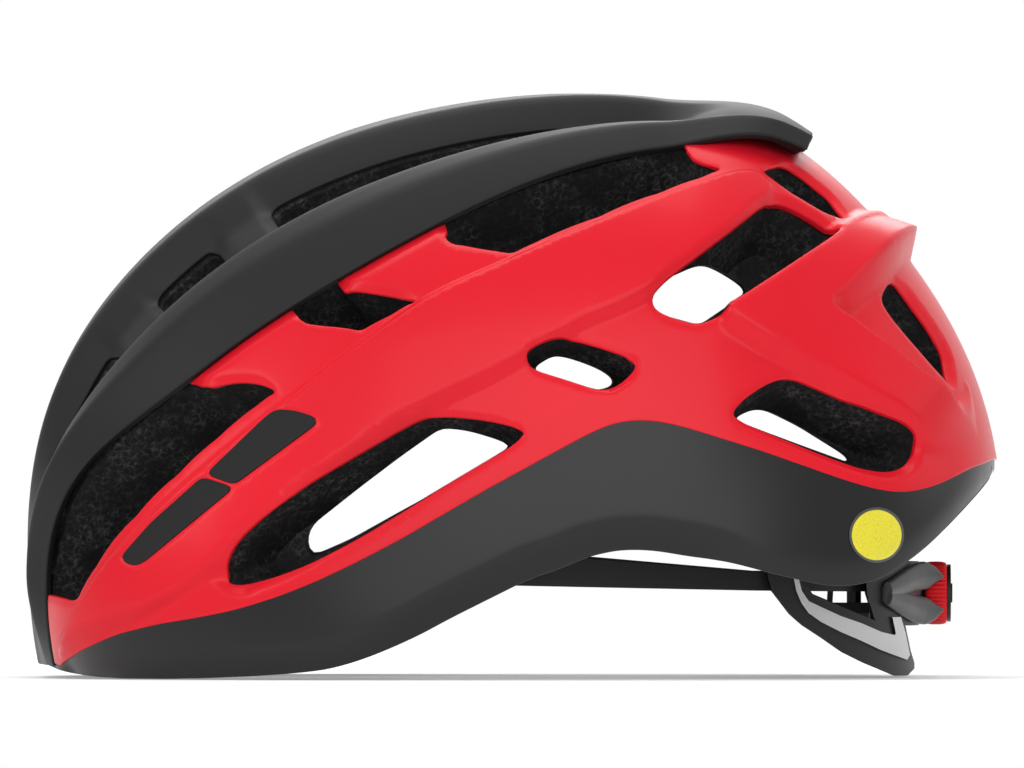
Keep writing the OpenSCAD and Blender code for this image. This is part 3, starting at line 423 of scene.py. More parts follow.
class Plate:
    """A raised or sunk field between a foot outline and a top outline, as a share from 0 to 1."""

    def __init__(self, top, foot, even=True):
        self.top = Mark(top)
        self.foot = Mark(foot)
        wide = reach(self.foot.space, self.top.space)
        self.weight = None if even else np.minimum(wide / wide.max(), 1)

    def rows(self, shares):
        """Lines in scaled angles that run between the foot, share 0, and the top, share 1."""
        foot = self.foot.uq * SCALE
        step = closest(foot, self.top.uq * SCALE) - foot
        return [foot + s * step for s in shares]

    def share(self, uq, space, knee=0.12, soft=4.0):
        """Distance from the foot over the sum of both distances, with rounded knees at foot and top."""
        out = np.zeros(len(uq))
        k = np.flatnonzero(self.foot.near(uq, 1.0))
        if len(k):
            a = reach(space[k], self.foot.space)
            b = reach(space[k], self.top.space)
            t = np.where(inside(uq[k], self.foot.uq), a / np.maximum(a + b, 1e-6), -a / soft)
            t = np.where(inside(uq[k], self.top.uq), 1 + b / soft, t)
            out[k] = ramp(t, 0.0, 1.0, knee)
            if self.weight is not None:
                near = 1 / (np.sum((space[k, None] - self.foot.space) ** 2, -1) + 0.3) ** 4
                out[k] *= near @ self.weight / near.sum(1)
        return out


def skirt(uq, width):
    """Outline moved outwards by a width, without the points that fold over in a narrow corner."""
    loop = turned(resample(uq * SCALE, 1.0), 1)
    out = grown(loop, width)
    return out[reach(out, loop) > 0.97 * width] / SCALE


def side_outline(points, r):
    """Angles of a rounded side-view outline, counter-clockwise in side view."""
    return chart(resample(turned(rounded(points, r), 1), 0.8))


def edge_outline(points, r, share=0.985):
    """Angles of a vent whose last stretch follows the crown edge from its last point back to its first."""
    low = chart(points)
    top = crown_side(np.linspace(low[-1, 0], low[0, 0], 40)[1:-1], share)
    low[[0, -1]] = crown_side(low[[0, -1], 0], share)
    return rounded(np.vstack([low, top]) * SCALE, r) / SCALE


def bevelled(uq, toward, width, least=0.4):
    """Crease round a vent: its outline moved out by least, and by width more on the side of toward."""
    loop = turned(resample(uq * SCALE, 1.0), 1)
    n = sideways(loop)
    way = np.asarray(toward, float) / np.linalg.norm(toward)
    more = least + width * np.maximum(n @ way, 0)
    ring = (np.roll(more, 2) + np.roll(more, -2) + np.roll(more, 4) + np.roll(more, -4) + more) / 5
    return (loop + n * ring[:, None]) / SCALE


def groove(u, y):
    """Depth of the groove beside the crown: full at its edge, none 3 mm further out or near the tail."""
    return GROOVE * (1 - ramp(y - along(CROWN_Y, u), 0.2, 2.6, 0.5)) * (1 - ease(90, 98, u))


class Forms:
    """The marks that shape the side shells: vents with their creases, the rib, the wing and the panels."""

    def __init__(self):
        # Name and outline, the side that its crease widens on, and the crease's width and depth.
        cuts = [
            ("front", edge_outline(VENT_FRONT, 3.0), (1, -0.4), 2.2, 1.0),
            ("upper", edge_outline(VENT_UPPER, 3.0), (0.9, -0.5), 2.4, 1.1),
            ("long", edge_outline(VENT_LONG, 2.5), (-1, 0), 1.6, 0.8),
            ("side", side_outline(VENT_SIDE, 6.0), (-1, -0.3), 6.5, 2.8),
            ("small", side_outline(VENT_SMALL, 4.0), (1, 0.2), 2.4, 1.6),
            ("rear", side_outline(VENT_REAR, 4.0), (-0.3, -1), 2.2, 1.2),
            ("low", side_outline(VENT_LOW, 5.0), (1, 0.1), 3.8, 2.2),
            ("tail", side_outline(VENT_TAIL, 2.5), (0.2, -1), 2.2, 1.2),
            ("exit", side_outline(VENT_EXIT, 3.0), (0.5, -1), 4.0, 2.0),
        ]
        self.vents = {}
        for name, uq, toward, width, depth in cuts:
            self.vents[name] = (Plate(uq, bevelled(uq, toward, width), False), depth)
        rib = chart(resample(rounded(MAIN_RIB, 8.0), 1.5))
        foot = bevelled(bevelled(rib, (0, -1), -2.0, 0.0), (0, 1), 2.0, 0.0)
        self.rib = Plate(bevelled(rib, (0, -1), -3.2, 0.2), skirt(foot, 1.4))
        middle = [(WING_FRONT, 0.0), (WING_BACK, 0.0)]
        wing = rounded(np.vstack([chart(WING_UPPER), middle, chart(WING_LOWER)]) * SCALE, 5.0) / SCALE
        foot = skirt(bevelled(wing, (1, -0.3), 4.0, 0.5), 3.5)
        y = outer_point(*foot.T, 0.0)[:, 1]
        over = np.maximum(foot[:, 0] - WING_BACK + 0.0008 * y * y, 0)
        foot[:, 0] -= 0.45 * over * (1 - ease(15, 55, y))
        self.wing = Plate(wing, foot)
        panels = [side_outline(points, 1.6) for points in PANELS]
        self.panels = [Plate(uq, skirt(uq, 0.7)) for uq in panels]
        edge = chart(np.array([p for p in RIM_EDGE if p[0] > -134]))
        edge[-1, 1] = 0
        right = outer_point(*edge.T, 0.0)
        self.rim = np.vstack([right, (right * [1, -1, 1])[::-1][1:]])

    def creases(self):
        """Lines in scaled angles that the net of the side shells follows."""
        lines = []
        for plate in (self.rib, self.wing):
            lines += [plate.top.uq * SCALE, *plate.rows([0.0, 0.33, 0.67, -0.3])]
        for panel in self.panels:
            lines += [panel.top.uq * SCALE, panel.foot.uq * SCALE]
        for plate, _ in self.vents.values():
            lines += plate.rows([0.0, 0.5])
        return lines

    def side(self, u, q):
        """Rise of the side shells: rib and wing as bevelled plates, creased vents, a groove by the crown."""
        u, q = np.broadcast_arrays(np.asarray(u, float), np.asarray(q, float))
        shape = u.shape
        u = u.ravel()
        uq = np.stack([u, np.abs(q.ravel())], -1)
        space = outer_point(*uq.T, 0.0)
        x, y, z = space.T
        over_rim = z - np.interp(x, *np.transpose(RIM_TOP))
        flush = (1 - ease(0, 7, over_rim)) * (1 - ease(20, 34, u))
        rise = RIB_HIGH * self.rib.share(uq, space, KNEE) * (1 - 0.6 * ease(98, 110, u)) * (1 - flush)
        across = (u - WING_FRONT + 0.0017 * y * y) / (WING_BACK - WING_FRONT + 0.0009 * y * y)
        high = WING_HIGH + (WING_KICK * np.clip(across, 0, 1) - WING_DIP) * (1 - ease(40, 72, y))
        high *= 1 - ease(135, 145, u)
        rise = np.maximum(rise, high * self.wing.share(uq, space, KNEE))
        rise -= groove(u, y)
        for plate, depth in self.vents.values():
            rise -= depth * plate.share(uq, space)
        for panel in self.panels:
            rise -= PANEL_DEEP * panel.share(uq, space, 0.2, 0.7)
        return rise.reshape(shape)

    def roll(self, u, q, width=9.0, depth=5.0):
        """Fall of the surface towards the lower rim: a parabola over the last few millimetres."""
        space = outer_point(u, q, 0.0)
        d = reach(space.reshape(-1, 3), self.rim, closed=False).reshape(space.shape[:-1])
        deep = depth * (1 - 0.75 * ease(118, 138, u)) * (1 - 0.6 * (1 - ease(8, 26, u)))
        return -deep * np.maximum(1 - d / width, 0) ** 2


def crown_tail(u):
    """Rise of the crown towards its tail."""
    return TAIL_HIGH * ease(96, 108, u)


def crown_rise(u, f):
    """Rise of the crown at share f of its half width: a flat middle, two channels and two creased ribs."""
    f = np.abs(f)
    deep = CHANNEL_DEEP * ease(17, 32, u) * (1 - ease(93, 103, u))
    bridge = sum(ramp(u, a - 1, a + 0.4, 0.3) - ramp(u, b - 0.4, b + 1, 0.3) for a, b in BRIDGES)
    deep = deep - BRIDGE_HIGH * bridge * (deep > 0)
    trough = ramp(f, 0.35, 0.5, 0.025) - ramp(f, 0.68, 0.75, 0.018)
    crest = ramp(f, 0.74, 0.86, 0.012) - ramp(f, 0.86, 1.0, 0.012)
    shoulder = ramp(f, 0.2, 0.35, 0.03) - ramp(f, 0.35, 0.5, 0.03)
    high = (CREST_HIGH + CREST_FRONT * (1 - ease(18, 40, u))) * ease(2, 13, u)
    return crown_tail(u) - deep * trough + high * crest + SHOULDER_HIGH * shoulder * (1 - ease(88, 100, u))


def boxed(p, loop, margin):
    """Which points lie in a loop's box, widened by a margin."""
    return np.all((p > loop.min(0) - margin) & (p < loop.max(0) + margin), axis=1)


def batches(indices):
    """The indices in batches that keep the tables of distances small."""
    return np.array_split(indices, max(len(indices) // 4000, 1))


def fill(loops, step, lines=()):
    """Points and triangles of a flat region: staggered rows of points kept clear of the loops, and a net.

    lines are closed outlines that the edges of the net follow where they lie inside the region.
    """
    def within(p, clear):
        keep = np.ones(len(p), bool)
        for k, loop in enumerate(loops):
            at = np.flatnonzero(boxed(p, loop, step) & keep)
            if k == 0:
                keep = np.zeros(len(p), bool)
            for part in batches(at):
                keep[part] = (reach(p[part], loop) > clear) & (inside(p[part], loop) == (k == 0))
        return keep

    low = loops[0].min(0)
    high = loops[0].max(0)
    rows = np.arange(low[1], high[1], step * 0.866)
    gx, gy = np.meshgrid(np.arange(low[0], high[0], step), rows)
    gx = gx + 0.5 * step * (np.arange(len(rows)) % 2)[:, None]
    p = np.stack([gx.ravel(), gy.ravel()], -1)
    p = p[within(p, 0.62 * step)]
    rings = np.cumsum([0] + [len(loop) for loop in loops])
    edges = []
    for start, end in zip(rings, rings[1:]):
        ring = np.arange(start, end)
        edges.append(np.stack([ring, np.roll(ring, -1)], -1))
    extra = []
    count = rings[-1]
    for line in lines:
        ring = resample(line, step)
        keep = within(ring, 0.45 * step)
        for other in extra:
            near = np.flatnonzero(keep)
            if len(near) and len(other) > 1:
                keep[near] = reach(ring[near], other, closed=False) > 0.4 * step
        at = np.flatnonzero(keep)
        new = count + np.arange(len(at))
        joined = np.diff(np.append(at, at[:1] + len(ring))) == 1
        edges.append(np.stack([new[joined], np.roll(new, -1)[joined]], -1))
        extra.append(ring[at])
        count += len(at)
        far = np.ones(len(p), bool)
        for part in batches(np.flatnonzero(boxed(p, ring, step))):
            far[part] = reach(p[part], ring) > 0.55 * step
        p = p[far]
    net = delaunay_2d_cdt(np.vstack([*loops, *extra, p]).tolist(), np.vstack(edges).tolist(), [], 0, 1e-9)
    pts = np.array([tuple(v) for v in net[0]])
    tris = np.array(net[2])
    mid = pts[tris].mean(1)
    good = np.ones(len(mid), bool)
    for k, loop in enumerate(loops):
        good &= np.concatenate([inside(m, loop) for m in np.array_split(mid, 20)]) == (k == 0)
    tris = tris[good]
    a, b, c = pts[tris[:, 0]], pts[tris[:, 1]], pts[tris[:, 2]]
    flip = (b[:, 0] - a[:, 0]) * (c[:, 1] - a[:, 1]) - (b[:, 1] - a[:, 1]) * (c[:, 0] - a[:, 0]) < 0
    tris[flip] = tris[flip][:, ::-1]
    return pts, tris, rings


def normal_of(lift, p, h=0.05):
    """Outward normal of a lifted surface from central differences of its two parameters."""
    a = lift(p + [h, 0], 0.0) - lift(p - [h, 0], 0.0)
    b = lift(p + [0, h], 0.0) - lift(p - [0, h], 0.0)
    return unit(np.cross(a, b))


def lip_profile(r, deep):
    """Quarter round of radius r, then a wall that goes deep: rows of sideways and down."""
    a = np.linspace(0, np.pi / 2, ARC_ROWS + 1)[1:]
    arc = np.stack([r * np.sin(a), r * (1 - np.cos(a))], -1)
    wall = np.stack([np.full(len(WALL_ROWS), r), r + (deep - r) * WALL_ROWS], -1)
    return np.vstack([arc, wall])


def lip_along(r, deep, count, deeper, inward=0.0):
    """The lip profile at count points of an edge, with a wall that goes deeper and leans inward at each."""
    profile = np.repeat(lip_profile(r, deep)[:, None, :], count, 1)
    profile[ARC_ROWS:, :, 1] += deeper * WALL_ROWS[:, None]
    profile[ARC_ROWS:, :, 0] -= inward * WALL_ROWS[:, None]
    return profile


def trimmed_shell(loops, step, lift, thick, lips, lines=()):
    """Closed skin over a flat region with holes: a lifted net, a lip profile carried round each loop, a back.

    lift takes parameters and a depth. lips gives one profile per loop, or a function of the loop's points.
    """
    loops = [turned(loop, 1 if k == 0 else -1) for k, loop in enumerate(loops)]
    pts, tris, rings = fill(loops, step, lines)
    n = len(pts)
    verts = [lift(pts, 0.0), lift(pts, -thick)]
    faces = [tris, tris[:, ::-1] + n]
    count = 2 * n
    for k, lip in enumerate(lips):
        ring = np.arange(rings[k], rings[k + 1])
        p = verts[0][ring]
        up = normal_of(lift, pts[ring])
        out = unit(np.cross(np.roll(p, -1, 0) - np.roll(p, 1, 0), up))
        profile = lip(pts[ring]) if callable(lip) else lip[:, None, :]
        body = p + profile[..., 0:1] * out - profile[..., 1:2] * up
        verts.append(body.reshape(-1, 3))
        added = len(body) * len(ring)
        rows = [ring, *(count + np.arange(added).reshape(len(body), -1)), ring + n]
        count += added
        for a, b in zip(rows[:-1], rows[1:]):
            a2, b2 = np.roll(a, -1), np.roll(b, -1)
            faces += [np.stack([a2, a, b], -1), np.stack([a2, b, b2], -1)]
    return np.vstack(verts), np.vstack(faces)


def mirrored(verts, faces):
    """The other side of a piece: y turned round and every face reversed."""
    return verts * [1, -1, 1], faces[:, ::-1]


def grid_faces(rows, cols, wrap_rows=False, wrap_cols=False):
    """Quads of a grid of rows by cols, joined end to start where asked."""
    i = np.arange(rows if wrap_rows else rows - 1)
    j = np.arange(cols if wrap_cols else cols - 1)
    a, b = np.meshgrid(i, j, indexing="ij")
    a2, b2 = (a + 1) % rows, (b + 1) % cols
    return np.stack([a * cols + b, a2 * cols + b, a2 * cols + b2, a * cols + b2], -1).reshape(-1, 4)


def end_faces(rows, cols):
    """The two faces that close a tube of rows rings with cols points each."""
    ring = np.arange(cols)
    return np.array([ring, (rows - 1) * cols + ring[::-1]])


def fan(hub, ring):
    """Triangles from a hub to each edge of a closed ring of points."""
    return np.stack([np.full(len(ring), hub), ring, np.roll(ring, -1)], -1)


def solid(name, verts, faces, *extra):
    """A mesh object in metres at the origin. extra holds faces of other corner counts."""
    mesh = bpy.data.meshes.new(name)
    blocks = [np.asarray(f) for f in (faces, *extra)]
    mesh.vertices.add(len(verts))
    mesh.vertices.foreach_set("co", (np.asarray(verts, np.float64) * 0.001).astype(np.float32).ravel())
    corners = np.concatenate([b.ravel() for b in blocks])
    sizes = np.concatenate([np.full(len(b), b.shape[1]) for b in blocks])
    mesh.loops.add(len(corners))
    mesh.loops.foreach_set("vertex_index", corners.astype(np.int32))
    mesh.polygons.add(len(sizes))
    mesh.polygons.foreach_set("loop_start", (np.cumsum(sizes) - sizes).astype(np.int32))
    mesh.update(calc_edges=True)
    mesh.validate()
    mesh.shade_smooth()
    obj = bpy.data.objects.new(name, mesh)
    bpy.context.scene.collection.objects.link(obj)
    return obj


def dress(obj, paint, body, node, sharp=None):
    """Finish, shading, body and replaced node of a piece; sharp is the least angle of a hard edge."""
    obj.data.materials.clear()
    obj.data.materials.append(paint)
    obj.data.shade_smooth()
    if sharp is not None:
        obj.data.set_sharp_from_angle(angle=np.radians(sharp))
    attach(obj, body)
    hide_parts(node)
    return obj


def mend(obj):
    """Merges the doubles of a closed mesh, turns its faces outwards and cuts them into triangles."""
    bm = bmesh.new()
    bm.from_mesh(obj.data)
    bmesh.ops.remove_doubles(bm, verts=bm.verts, dist=1e-7)
    bmesh.ops.recalc_face_normals(bm, faces=bm.faces)
    bmesh.ops.triangulate(bm, faces=bm.faces)
    bm.to_mesh(obj.data)
    bm.free()
    return obj


def slab(top, bottom):
    """Closed solid between two grids of the same size, whose outer edges are joined by walls."""
    n, m = top.shape[:2]
    o = n * m
    up = grid_faces(n, m)
    ring = np.concatenate([np.arange(m), np.arange(1, n) * m + m - 1, (n - 1) * m + np.arange(m - 2, -1, -1),
                           np.arange(n - 2, 0, -1) * m])
    after = np.roll(ring, -1)
    walls = np.stack([ring, after, after + o, ring + o], -1)
    verts = np.vstack([top.reshape(-1, 3), bottom.reshape(-1, 3)])
    return verts, np.vstack([up, up[:, ::-1] + o, walls])


def loft(rings):
    """Closed solid through rings of equal count, with each end closed by a fan to its middle."""
    k, n = rings.shape[:2]
    verts = np.vstack([rings.reshape(-1, 3), rings[0].mean(0)[None], rings[-1].mean(0)[None]])
    ring = np.arange(n)
    first = fan(k * n, ring)
    last = fan(k * n + 1, (k - 1) * n + ring)[:, [0, 2, 1]]
    return verts, grid_faces(k, n, wrap_cols=True), np.vstack([first, last])


def across_prism(ring, ends):
    """Side-view outline carried along Y between two widths."""
    return loft(np.stack([np.stack([ring[:, 0], np.full(len(ring), y), ring[:, 1]], -1) for y in ends]))


def upright_prism(x, y, ends):
    """Plan outline carried along Z between two heights."""
    return loft(np.stack([np.stack([x, y, np.full(len(x), z)], -1) for z in ends]))


def block(low, high):
    """Box between two corners."""
    x = np.array([low[0], high[0], high[0], low[0]])
    y = np.array([low[1], low[1], high[1], high[1]])
    return upright_prism(x, y, (low[2], high[2]))


def post(x, y, low, high, r):
    """Upright cylinder."""
    a = circle(48)
    return upright_prism(x + r * np.cos(a), y + r * np.sin(a), (low, high))


def operator_pair(operation):
    """A plain operator and its reflected form, each of which adds one Math node."""
    def plain(self, other):
        return self.do(operation, other)

    def reflected(self, other):
        return self.tree.node("ShaderNodeMath", {"operation": operation}, {0: other, 1: self})

    return plain, reflected


class Num:
    """A shader value. Plain operators on it add Math nodes."""

    def __init__(self, tree, socket):
        self.tree = tree
        self.socket = socket

    __add__, __radd__ = operator_pair("ADD")
    __sub__, __rsub__ = operator_pair("SUBTRACT")
    __mul__, __rmul__ = operator_pair("MULTIPLY")

    def do(self, operation, *others):
        """Any operation of the Math node on this value and others."""
        return self.tree.node("ShaderNodeMath", {"operation": operation}, dict(enumerate((self, *others))))

    def step(self, low, high):
        """Smooth 0 to 1 between two values."""
        return self.tree.node("ShaderNodeMapRange", {"interpolation_type": "SMOOTHSTEP"},
                              {"Value": self, "From Min": low, "From Max": high})

    def outputs(self, *names):
        """Outputs of the node that this value comes from."""
        return [Num(self.tree, self.socket.node.outputs[name]) for name in names]


class Tree:
    """Nodes of a finish or of the world."""

    def __init__(self, owner):
        owner.use_nodes = True
        self.nodes = owner.node_tree.nodes
        self.links = owner.node_tree.links
        self.nodes.clear()

    def feed(self, node, name, value):
        """Sets a socket to a number or colour, or links it."""
        if isinstance(value, Num):
            self.links.new(value.socket, node.inputs[name])
        else:
            node.inputs[name].default_value = value

    def node(self, kind, settings=None, sockets=None, out=0):
        """Any node: its settings first, then its sockets; returns one of its outputs, if it has any."""
        made = self.nodes.new(kind)
        for key, value in (settings or {}).items():
            setattr(made, key, value)
        for key, value in (sockets or {}).items():
            self.feed(made, key, value)
        return Num(self, made.outputs[out]) if made.outputs else None

    def mix(self, share, low, high):
        """Colour between two colours."""
        low, high = ((*c, 1.0) if isinstance(c, tuple) else c for c in (low, high))
        return self.node("ShaderNodeMix", {"data_type": "RGBA"}, {0: share, 6: low, 7: high}, 2)

    def vector(self, operation, *values, out=0):
        """Vector Math on values."""
        return self.node("ShaderNodeVectorMath", {"operation": operation}, dict(enumerate(values)), out)

    def rays(self):
        """1 for rays of the camera, a gloss or a clear piece; and 1 for those of a gloss alone."""
        seen = self.node("ShaderNodeLightPath")
        camera, gloss, clear = seen.outputs("Is Camera Ray", "Is Glossy Ray", "Is Transmission Ray")
        return camera.do("MAXIMUM", gloss).do("MAXIMUM", clear), gloss


class Paint(Tree):
    """One procedural finish on a Principled shader."""

    def __init__(self, name):
        self.material = bpy.data.materials.new(name)
        super().__init__(self.material)
        self.shader = self.node("ShaderNodeBsdfPrincipled")
        self.at = self.node("ShaderNodeTexCoord", out="Object")

    def noise(self, scale, detail=3.0, rough=0.55, out=0):
        """Noise with a feature about 1 / scale metres across."""
        sockets = {"Vector": self.at, "Scale": scale, "Detail": detail, "Roughness": rough}
        return self.node("ShaderNodeTexNoise", {}, sockets, out)

    def cells(self, scale, feature="F1", at=None):
        """Cell pattern with cells about 1 / scale metres across."""
        sockets = {"Vector": at or self.at, "Scale": scale}
        return self.node("ShaderNodeTexVoronoi", {"feature": feature}, sockets, "Distance")

    def bump(self, height, distance, strength=1.0):
        """Normal from a height in 0 to 1 that stands for a distance in metres."""
        sockets = {"Strength": strength, "Distance": distance, "Height": height}
        self.set(Normal=self.node("ShaderNodeBump", {}, sockets))

    def set(self, **values):
        """Constants or links on the shader, with spaces written as underscores."""
        for key, value in values.items():
            self.feed(self.shader.socket.node, key.replace("_", " "), value)

    def done(self, surface=None):
        """The material, with its shader or another surface at the output."""
        self.node("ShaderNodeOutputMaterial", {}, {"Surface": surface or self.shader})
        return self.material


def scaled(colour, k):
    """A colour times k, no brighter than 1."""
    return tuple(min(c * k, 1.0) for c in colour)


def gloss_shell_finish(name, colour, coat=0.08, rough=0.33):
    """Clear-coated colour: slow change of tone, a faint orange peel, and fine dust in the roughness."""
    p = Paint(name)
    slow = p.noise(9.0, 2.0)
    fine = p.noise(420.0, 2.0)
    p.bump(p.noise(900.0, 1.0), 0.00002, 0.25)
    p.set(Base_Color=p.mix(slow.step(0.3, 0.7), scaled(colour, 0.95), scaled(colour, 1.04)),
          Roughness=rough + (fine - 0.5) * 0.06, Coat_Weight=coat, Coat_Roughness=0.15,
          Specular_IOR_Level=0.13)
    return p.done()


def matte_moulding_finish(name, colour, rough=0.5, grain=1100.0, depth=0.00003, spread=0.12, shine=0.25):
    """Soft-touch plastic: fine moulded grain as bump, and a slow drift of tone and roughness."""
    p = Paint(name)
    slow = p.noise(14.0, 3.0)
    fine = p.noise(grain, 2.0, 0.6)
    p.bump(fine, depth, 0.5)
    tone = slow * 0.7 + fine * 0.3
    p.set(Base_Color=p.mix(tone.step(0.3, 0.7), scaled(colour, 1 - spread), scaled(colour, 1 + spread)),
          Roughness=rough + (slow - 0.5) * 0.12, Specular_IOR_Level=shine)
    return p.done()


def bead_foam_finish(name, colour):
    """Moulded beads: dark cells about 2 mm wide with swaying paler seams, patchy, slightly dimpled."""
    p = Paint(name)
    sway = p.noise(300.0, 3.0, 0.5, "Color")
    bent = p.vector("MULTIPLY_ADD", sway, (0.003,) * 3, p.at)
    seam = 1 - p.cells(480.0, "DISTANCE_TO_EDGE", bent).step(0.0, 0.24)
    patch = p.noise(75.0, 5.0, 0.65).step(0.38, 0.64)
    speck = p.noise(520.0, 5.0, 0.75).step(0.42, 0.72)
    pale = (seam * (0.15 + speck * 0.85) + speck * 0.25) * (0.12 + patch * 0.88)
    p.bump(p.cells(330.0), 0.0005, 0.35)
    p.set(Base_Color=p.mix(pale, colour, scaled(colour, 24.0)), Roughness=0.8 + (speck - 0.5) * 0.1,
          Specular_IOR_Level=0.2)
    return p.done()


def pad_cloth_finish(name, colour):
    """Knitted pad cover: a fine crossed knit as bump and tone, with sheen."""
    p = Paint(name)
    x, y, z = p.node("ShaderNodeSeparateXYZ", {}, {"Vector": p.at}).outputs("X", "Y", "Z")
    weave = ((x + z) * 5200.0).do("SINE") * ((y - z) * 5200.0).do("SINE")
    p.bump(weave * 0.5 + 0.5, 0.0003, 0.6)
    p.set(Base_Color=p.mix(weave.step(-0.6, 0.8), scaled(colour, 0.6), scaled(colour, 1.6)),
          Roughness=0.85 + weave * 0.05, Sheen_Weight=0.4, Sheen_Roughness=0.5)
    return p.done()


def disc_finish(name, colour, centre):
    """Bright film with a fine honeycomb and a thin dark rim at its edge."""
    p = Paint(name)
    beside = p.vector("MULTIPLY", p.vector("SUBTRACT", p.at, centre), (1.0, 0.0, 1.0))
    rim = p.vector("LENGTH", beside, out="Value").step(0.0071, 0.0073)
    cell = p.cells(1400.0, "DISTANCE_TO_EDGE").step(0.0, 0.12)
    face = p.mix(cell, scaled(colour, 0.82), colour)
    p.bump(cell, 0.00004, 0.3)
    p.set(Base_Color=p.mix(rim, face, (0.03, 0.03, 0.03)), Roughness=0.3 + rim * 0.2, Coat_Weight=0.4)
    return p.done()


def floor_finish(name):
    """Pale floor that keeps the shadow and glows towards the camera, and brighter in a gloss."""
    p = Paint(name)
    grain = p.noise(30.0, 2.0)
    p.set(Base_Color=p.mix(grain, (0.86,) * 3, (0.88,) * 3), Roughness=0.9, Specular_IOR_Level=0.1)
    seen, gloss = p.rays()
    glow = p.node("ShaderNodeEmission", {}, {"Color": p.mix(gloss, (0.3,) * 3, (0.9,) * 3)})
    lit = p.node("ShaderNodeAddShader", {}, {0: p.shader, 1: glow})
    return p.done(p.node("ShaderNodeMixShader", {}, {0: seen, 1: p.shader, 2: lit}))


def studio_world(name, dim):
    """World that is white where it is seen and lights the helmet with a strength of dim."""
    world = bpy.data.worlds.new(name)
    t = Tree(world)
    seen, _ = t.rays()
    low, high = (t.node("ShaderNodeBackground", {}, {"Color": (1, 1, 1, 1), "Strength": strength})
                 for strength in (dim, 1.0))
    both = t.node("ShaderNodeMixShader", {}, {0: seen, 1: low, 2: high})
    t.node("ShaderNodeOutputWorld", {}, {"Surface": both})
    return world


def tint(name, description, default):
    """A colour that a user would change, linear."""
    return FloatVectorProperty(name=name, description=description, default=default, subtype="COLOR",
                               min=0, max=1)


def span(name, description, default, low, high):
    """A length that a user would change, in metres."""
    return FloatProperty(name=name, description=description, default=default, unit="LENGTH",
                         min=low, max=high)


class HelmetColours(bpy.types.PropertyGroup):
    """Colours a user would change."""

    shell: tint("Side shell", "Glossy side shells", (0.8, 0.012, 0.026))
    crown: tint("Crown", "Matte crown shell", (0.0085, 0.0085, 0.0088))
    rim: tint("Rim", "Satin rim shell", (0.007, 0.007, 0.0074))
    foam: tint("Foam", "Bead foam", (0.003, 0.003, 0.0031))
    inlay: tint("Inlay", "Matte inlay panels", (0.0075, 0.0075, 0.0075))
    disc: tint("Disc", "Reflector disc", (0.95, 0.84, 0.02))
    pale: tint("Pale inlay", "Inlays of the cradle", (0.92, 0.92, 0.92))
    claw: tint("Claw", "Dial claw", (0.1, 0.1, 0.102))
    knob: tint("Knob", "Dial knob", (0.85, 0.012, 0.022))
    trim: tint("Trim", "Bands, cradle and small black parts", (0.012, 0.012, 0.012))
    grey: tint("Grey", "Pinion and crown stud", (0.09, 0.09, 0.095))
    slip: tint("Slip liner", "Film of the slip liner", (0.05, 0.05, 0.053))
    pad: tint("Pads", "Knitted pad covers", (0.014, 0.014, 0.016))


class HelmetSizes(bpy.types.PropertyGroup):
    """Sizes a user would change."""

    net: span("Net", "Spacing of the points on the shells", 0.0013, 0.0008, 0.005)
    lip: span("Lip", "Radius of the rolled edges", 0.0006, 0.0001, 0.002)
    wall: span("Vent wall", "Depth of the shell's wall inside a vent", 0.0024, 0.0005, 0.008)
    pad: span("Pad", "Thickness of the comfort pads", 0.0048, 0.002, 0.005)
    shell_t: span("Shell", "Thickness of the shells", 0.0012, 0.0005, 0.003)


forms = Forms()


def colour(name):
    """A colour of the panel."""
    return tuple(getattr(bpy.context.scene.helmet_colours, name))


def size(name):
    """A size of the panel in millimetres."""
    return getattr(bpy.context.scene.helmet_sizes, name) * 1000


def side_lift(p, d):
    """Side shell at scaled angles p and depth d."""
    u, q = (p / SCALE).T
    return outer_point(u, q, forms.side(u, q) + d)


def disc_lift(p, d):
    """Disc on the rim shell at scaled angles p and depth d."""
    u, q = (p / SCALE).T
    return outer_point(u, q, forms.roll(u, q) + DISC_HIGH + d)


def crown_lift(p, d):
    """Crown at scaled angle and share p, and depth d."""
    u, f = (p / CROWN_SCALE).T
    return outer_point(*crown_side(u, f).T, crown_rise(u, f) + d)


def side_region():
    """Edge of the right side shell in scaled angles: crown edge with three open vents, tail, middle, rim."""
    def hidden(a, b):
        u = np.linspace(a, b, max(int((b - a) * 3), 2))
        return crown_side(u, 0.965 - 0.5 * ease(100, 106, u))

    path = []
    start = CROWN_START + 0.2
    for points in (VENT_FRONT, VENT_UPPER, VENT_LONG):
        low = chart(points)
        path += [hidden(start, low[0, 0]), rounded(low * SCALE, 2.5)[7:-7] / SCALE]
        start = low[-1, 0]
    crown = np.vstack(path + [hidden(start, CROWN_END - 3)])
    end, wide = crown[-1]
    q = np.linspace(wide, 0, 24)[1:]
    tail = np.stack([np.full(len(q), end), q], -1)
    u = np.linspace(end, SIDE_END, 60)[1:]
    middle = np.stack([u, np.zeros(len(u))], -1)
    low = edge_line(RIM_TOP, 4.0, SIDE_OVER)[::-1]
    low = low[low[:, 1] > 0.5]
    return resample(np.vstack([crown, tail, middle, low]) * SCALE, 1.0)


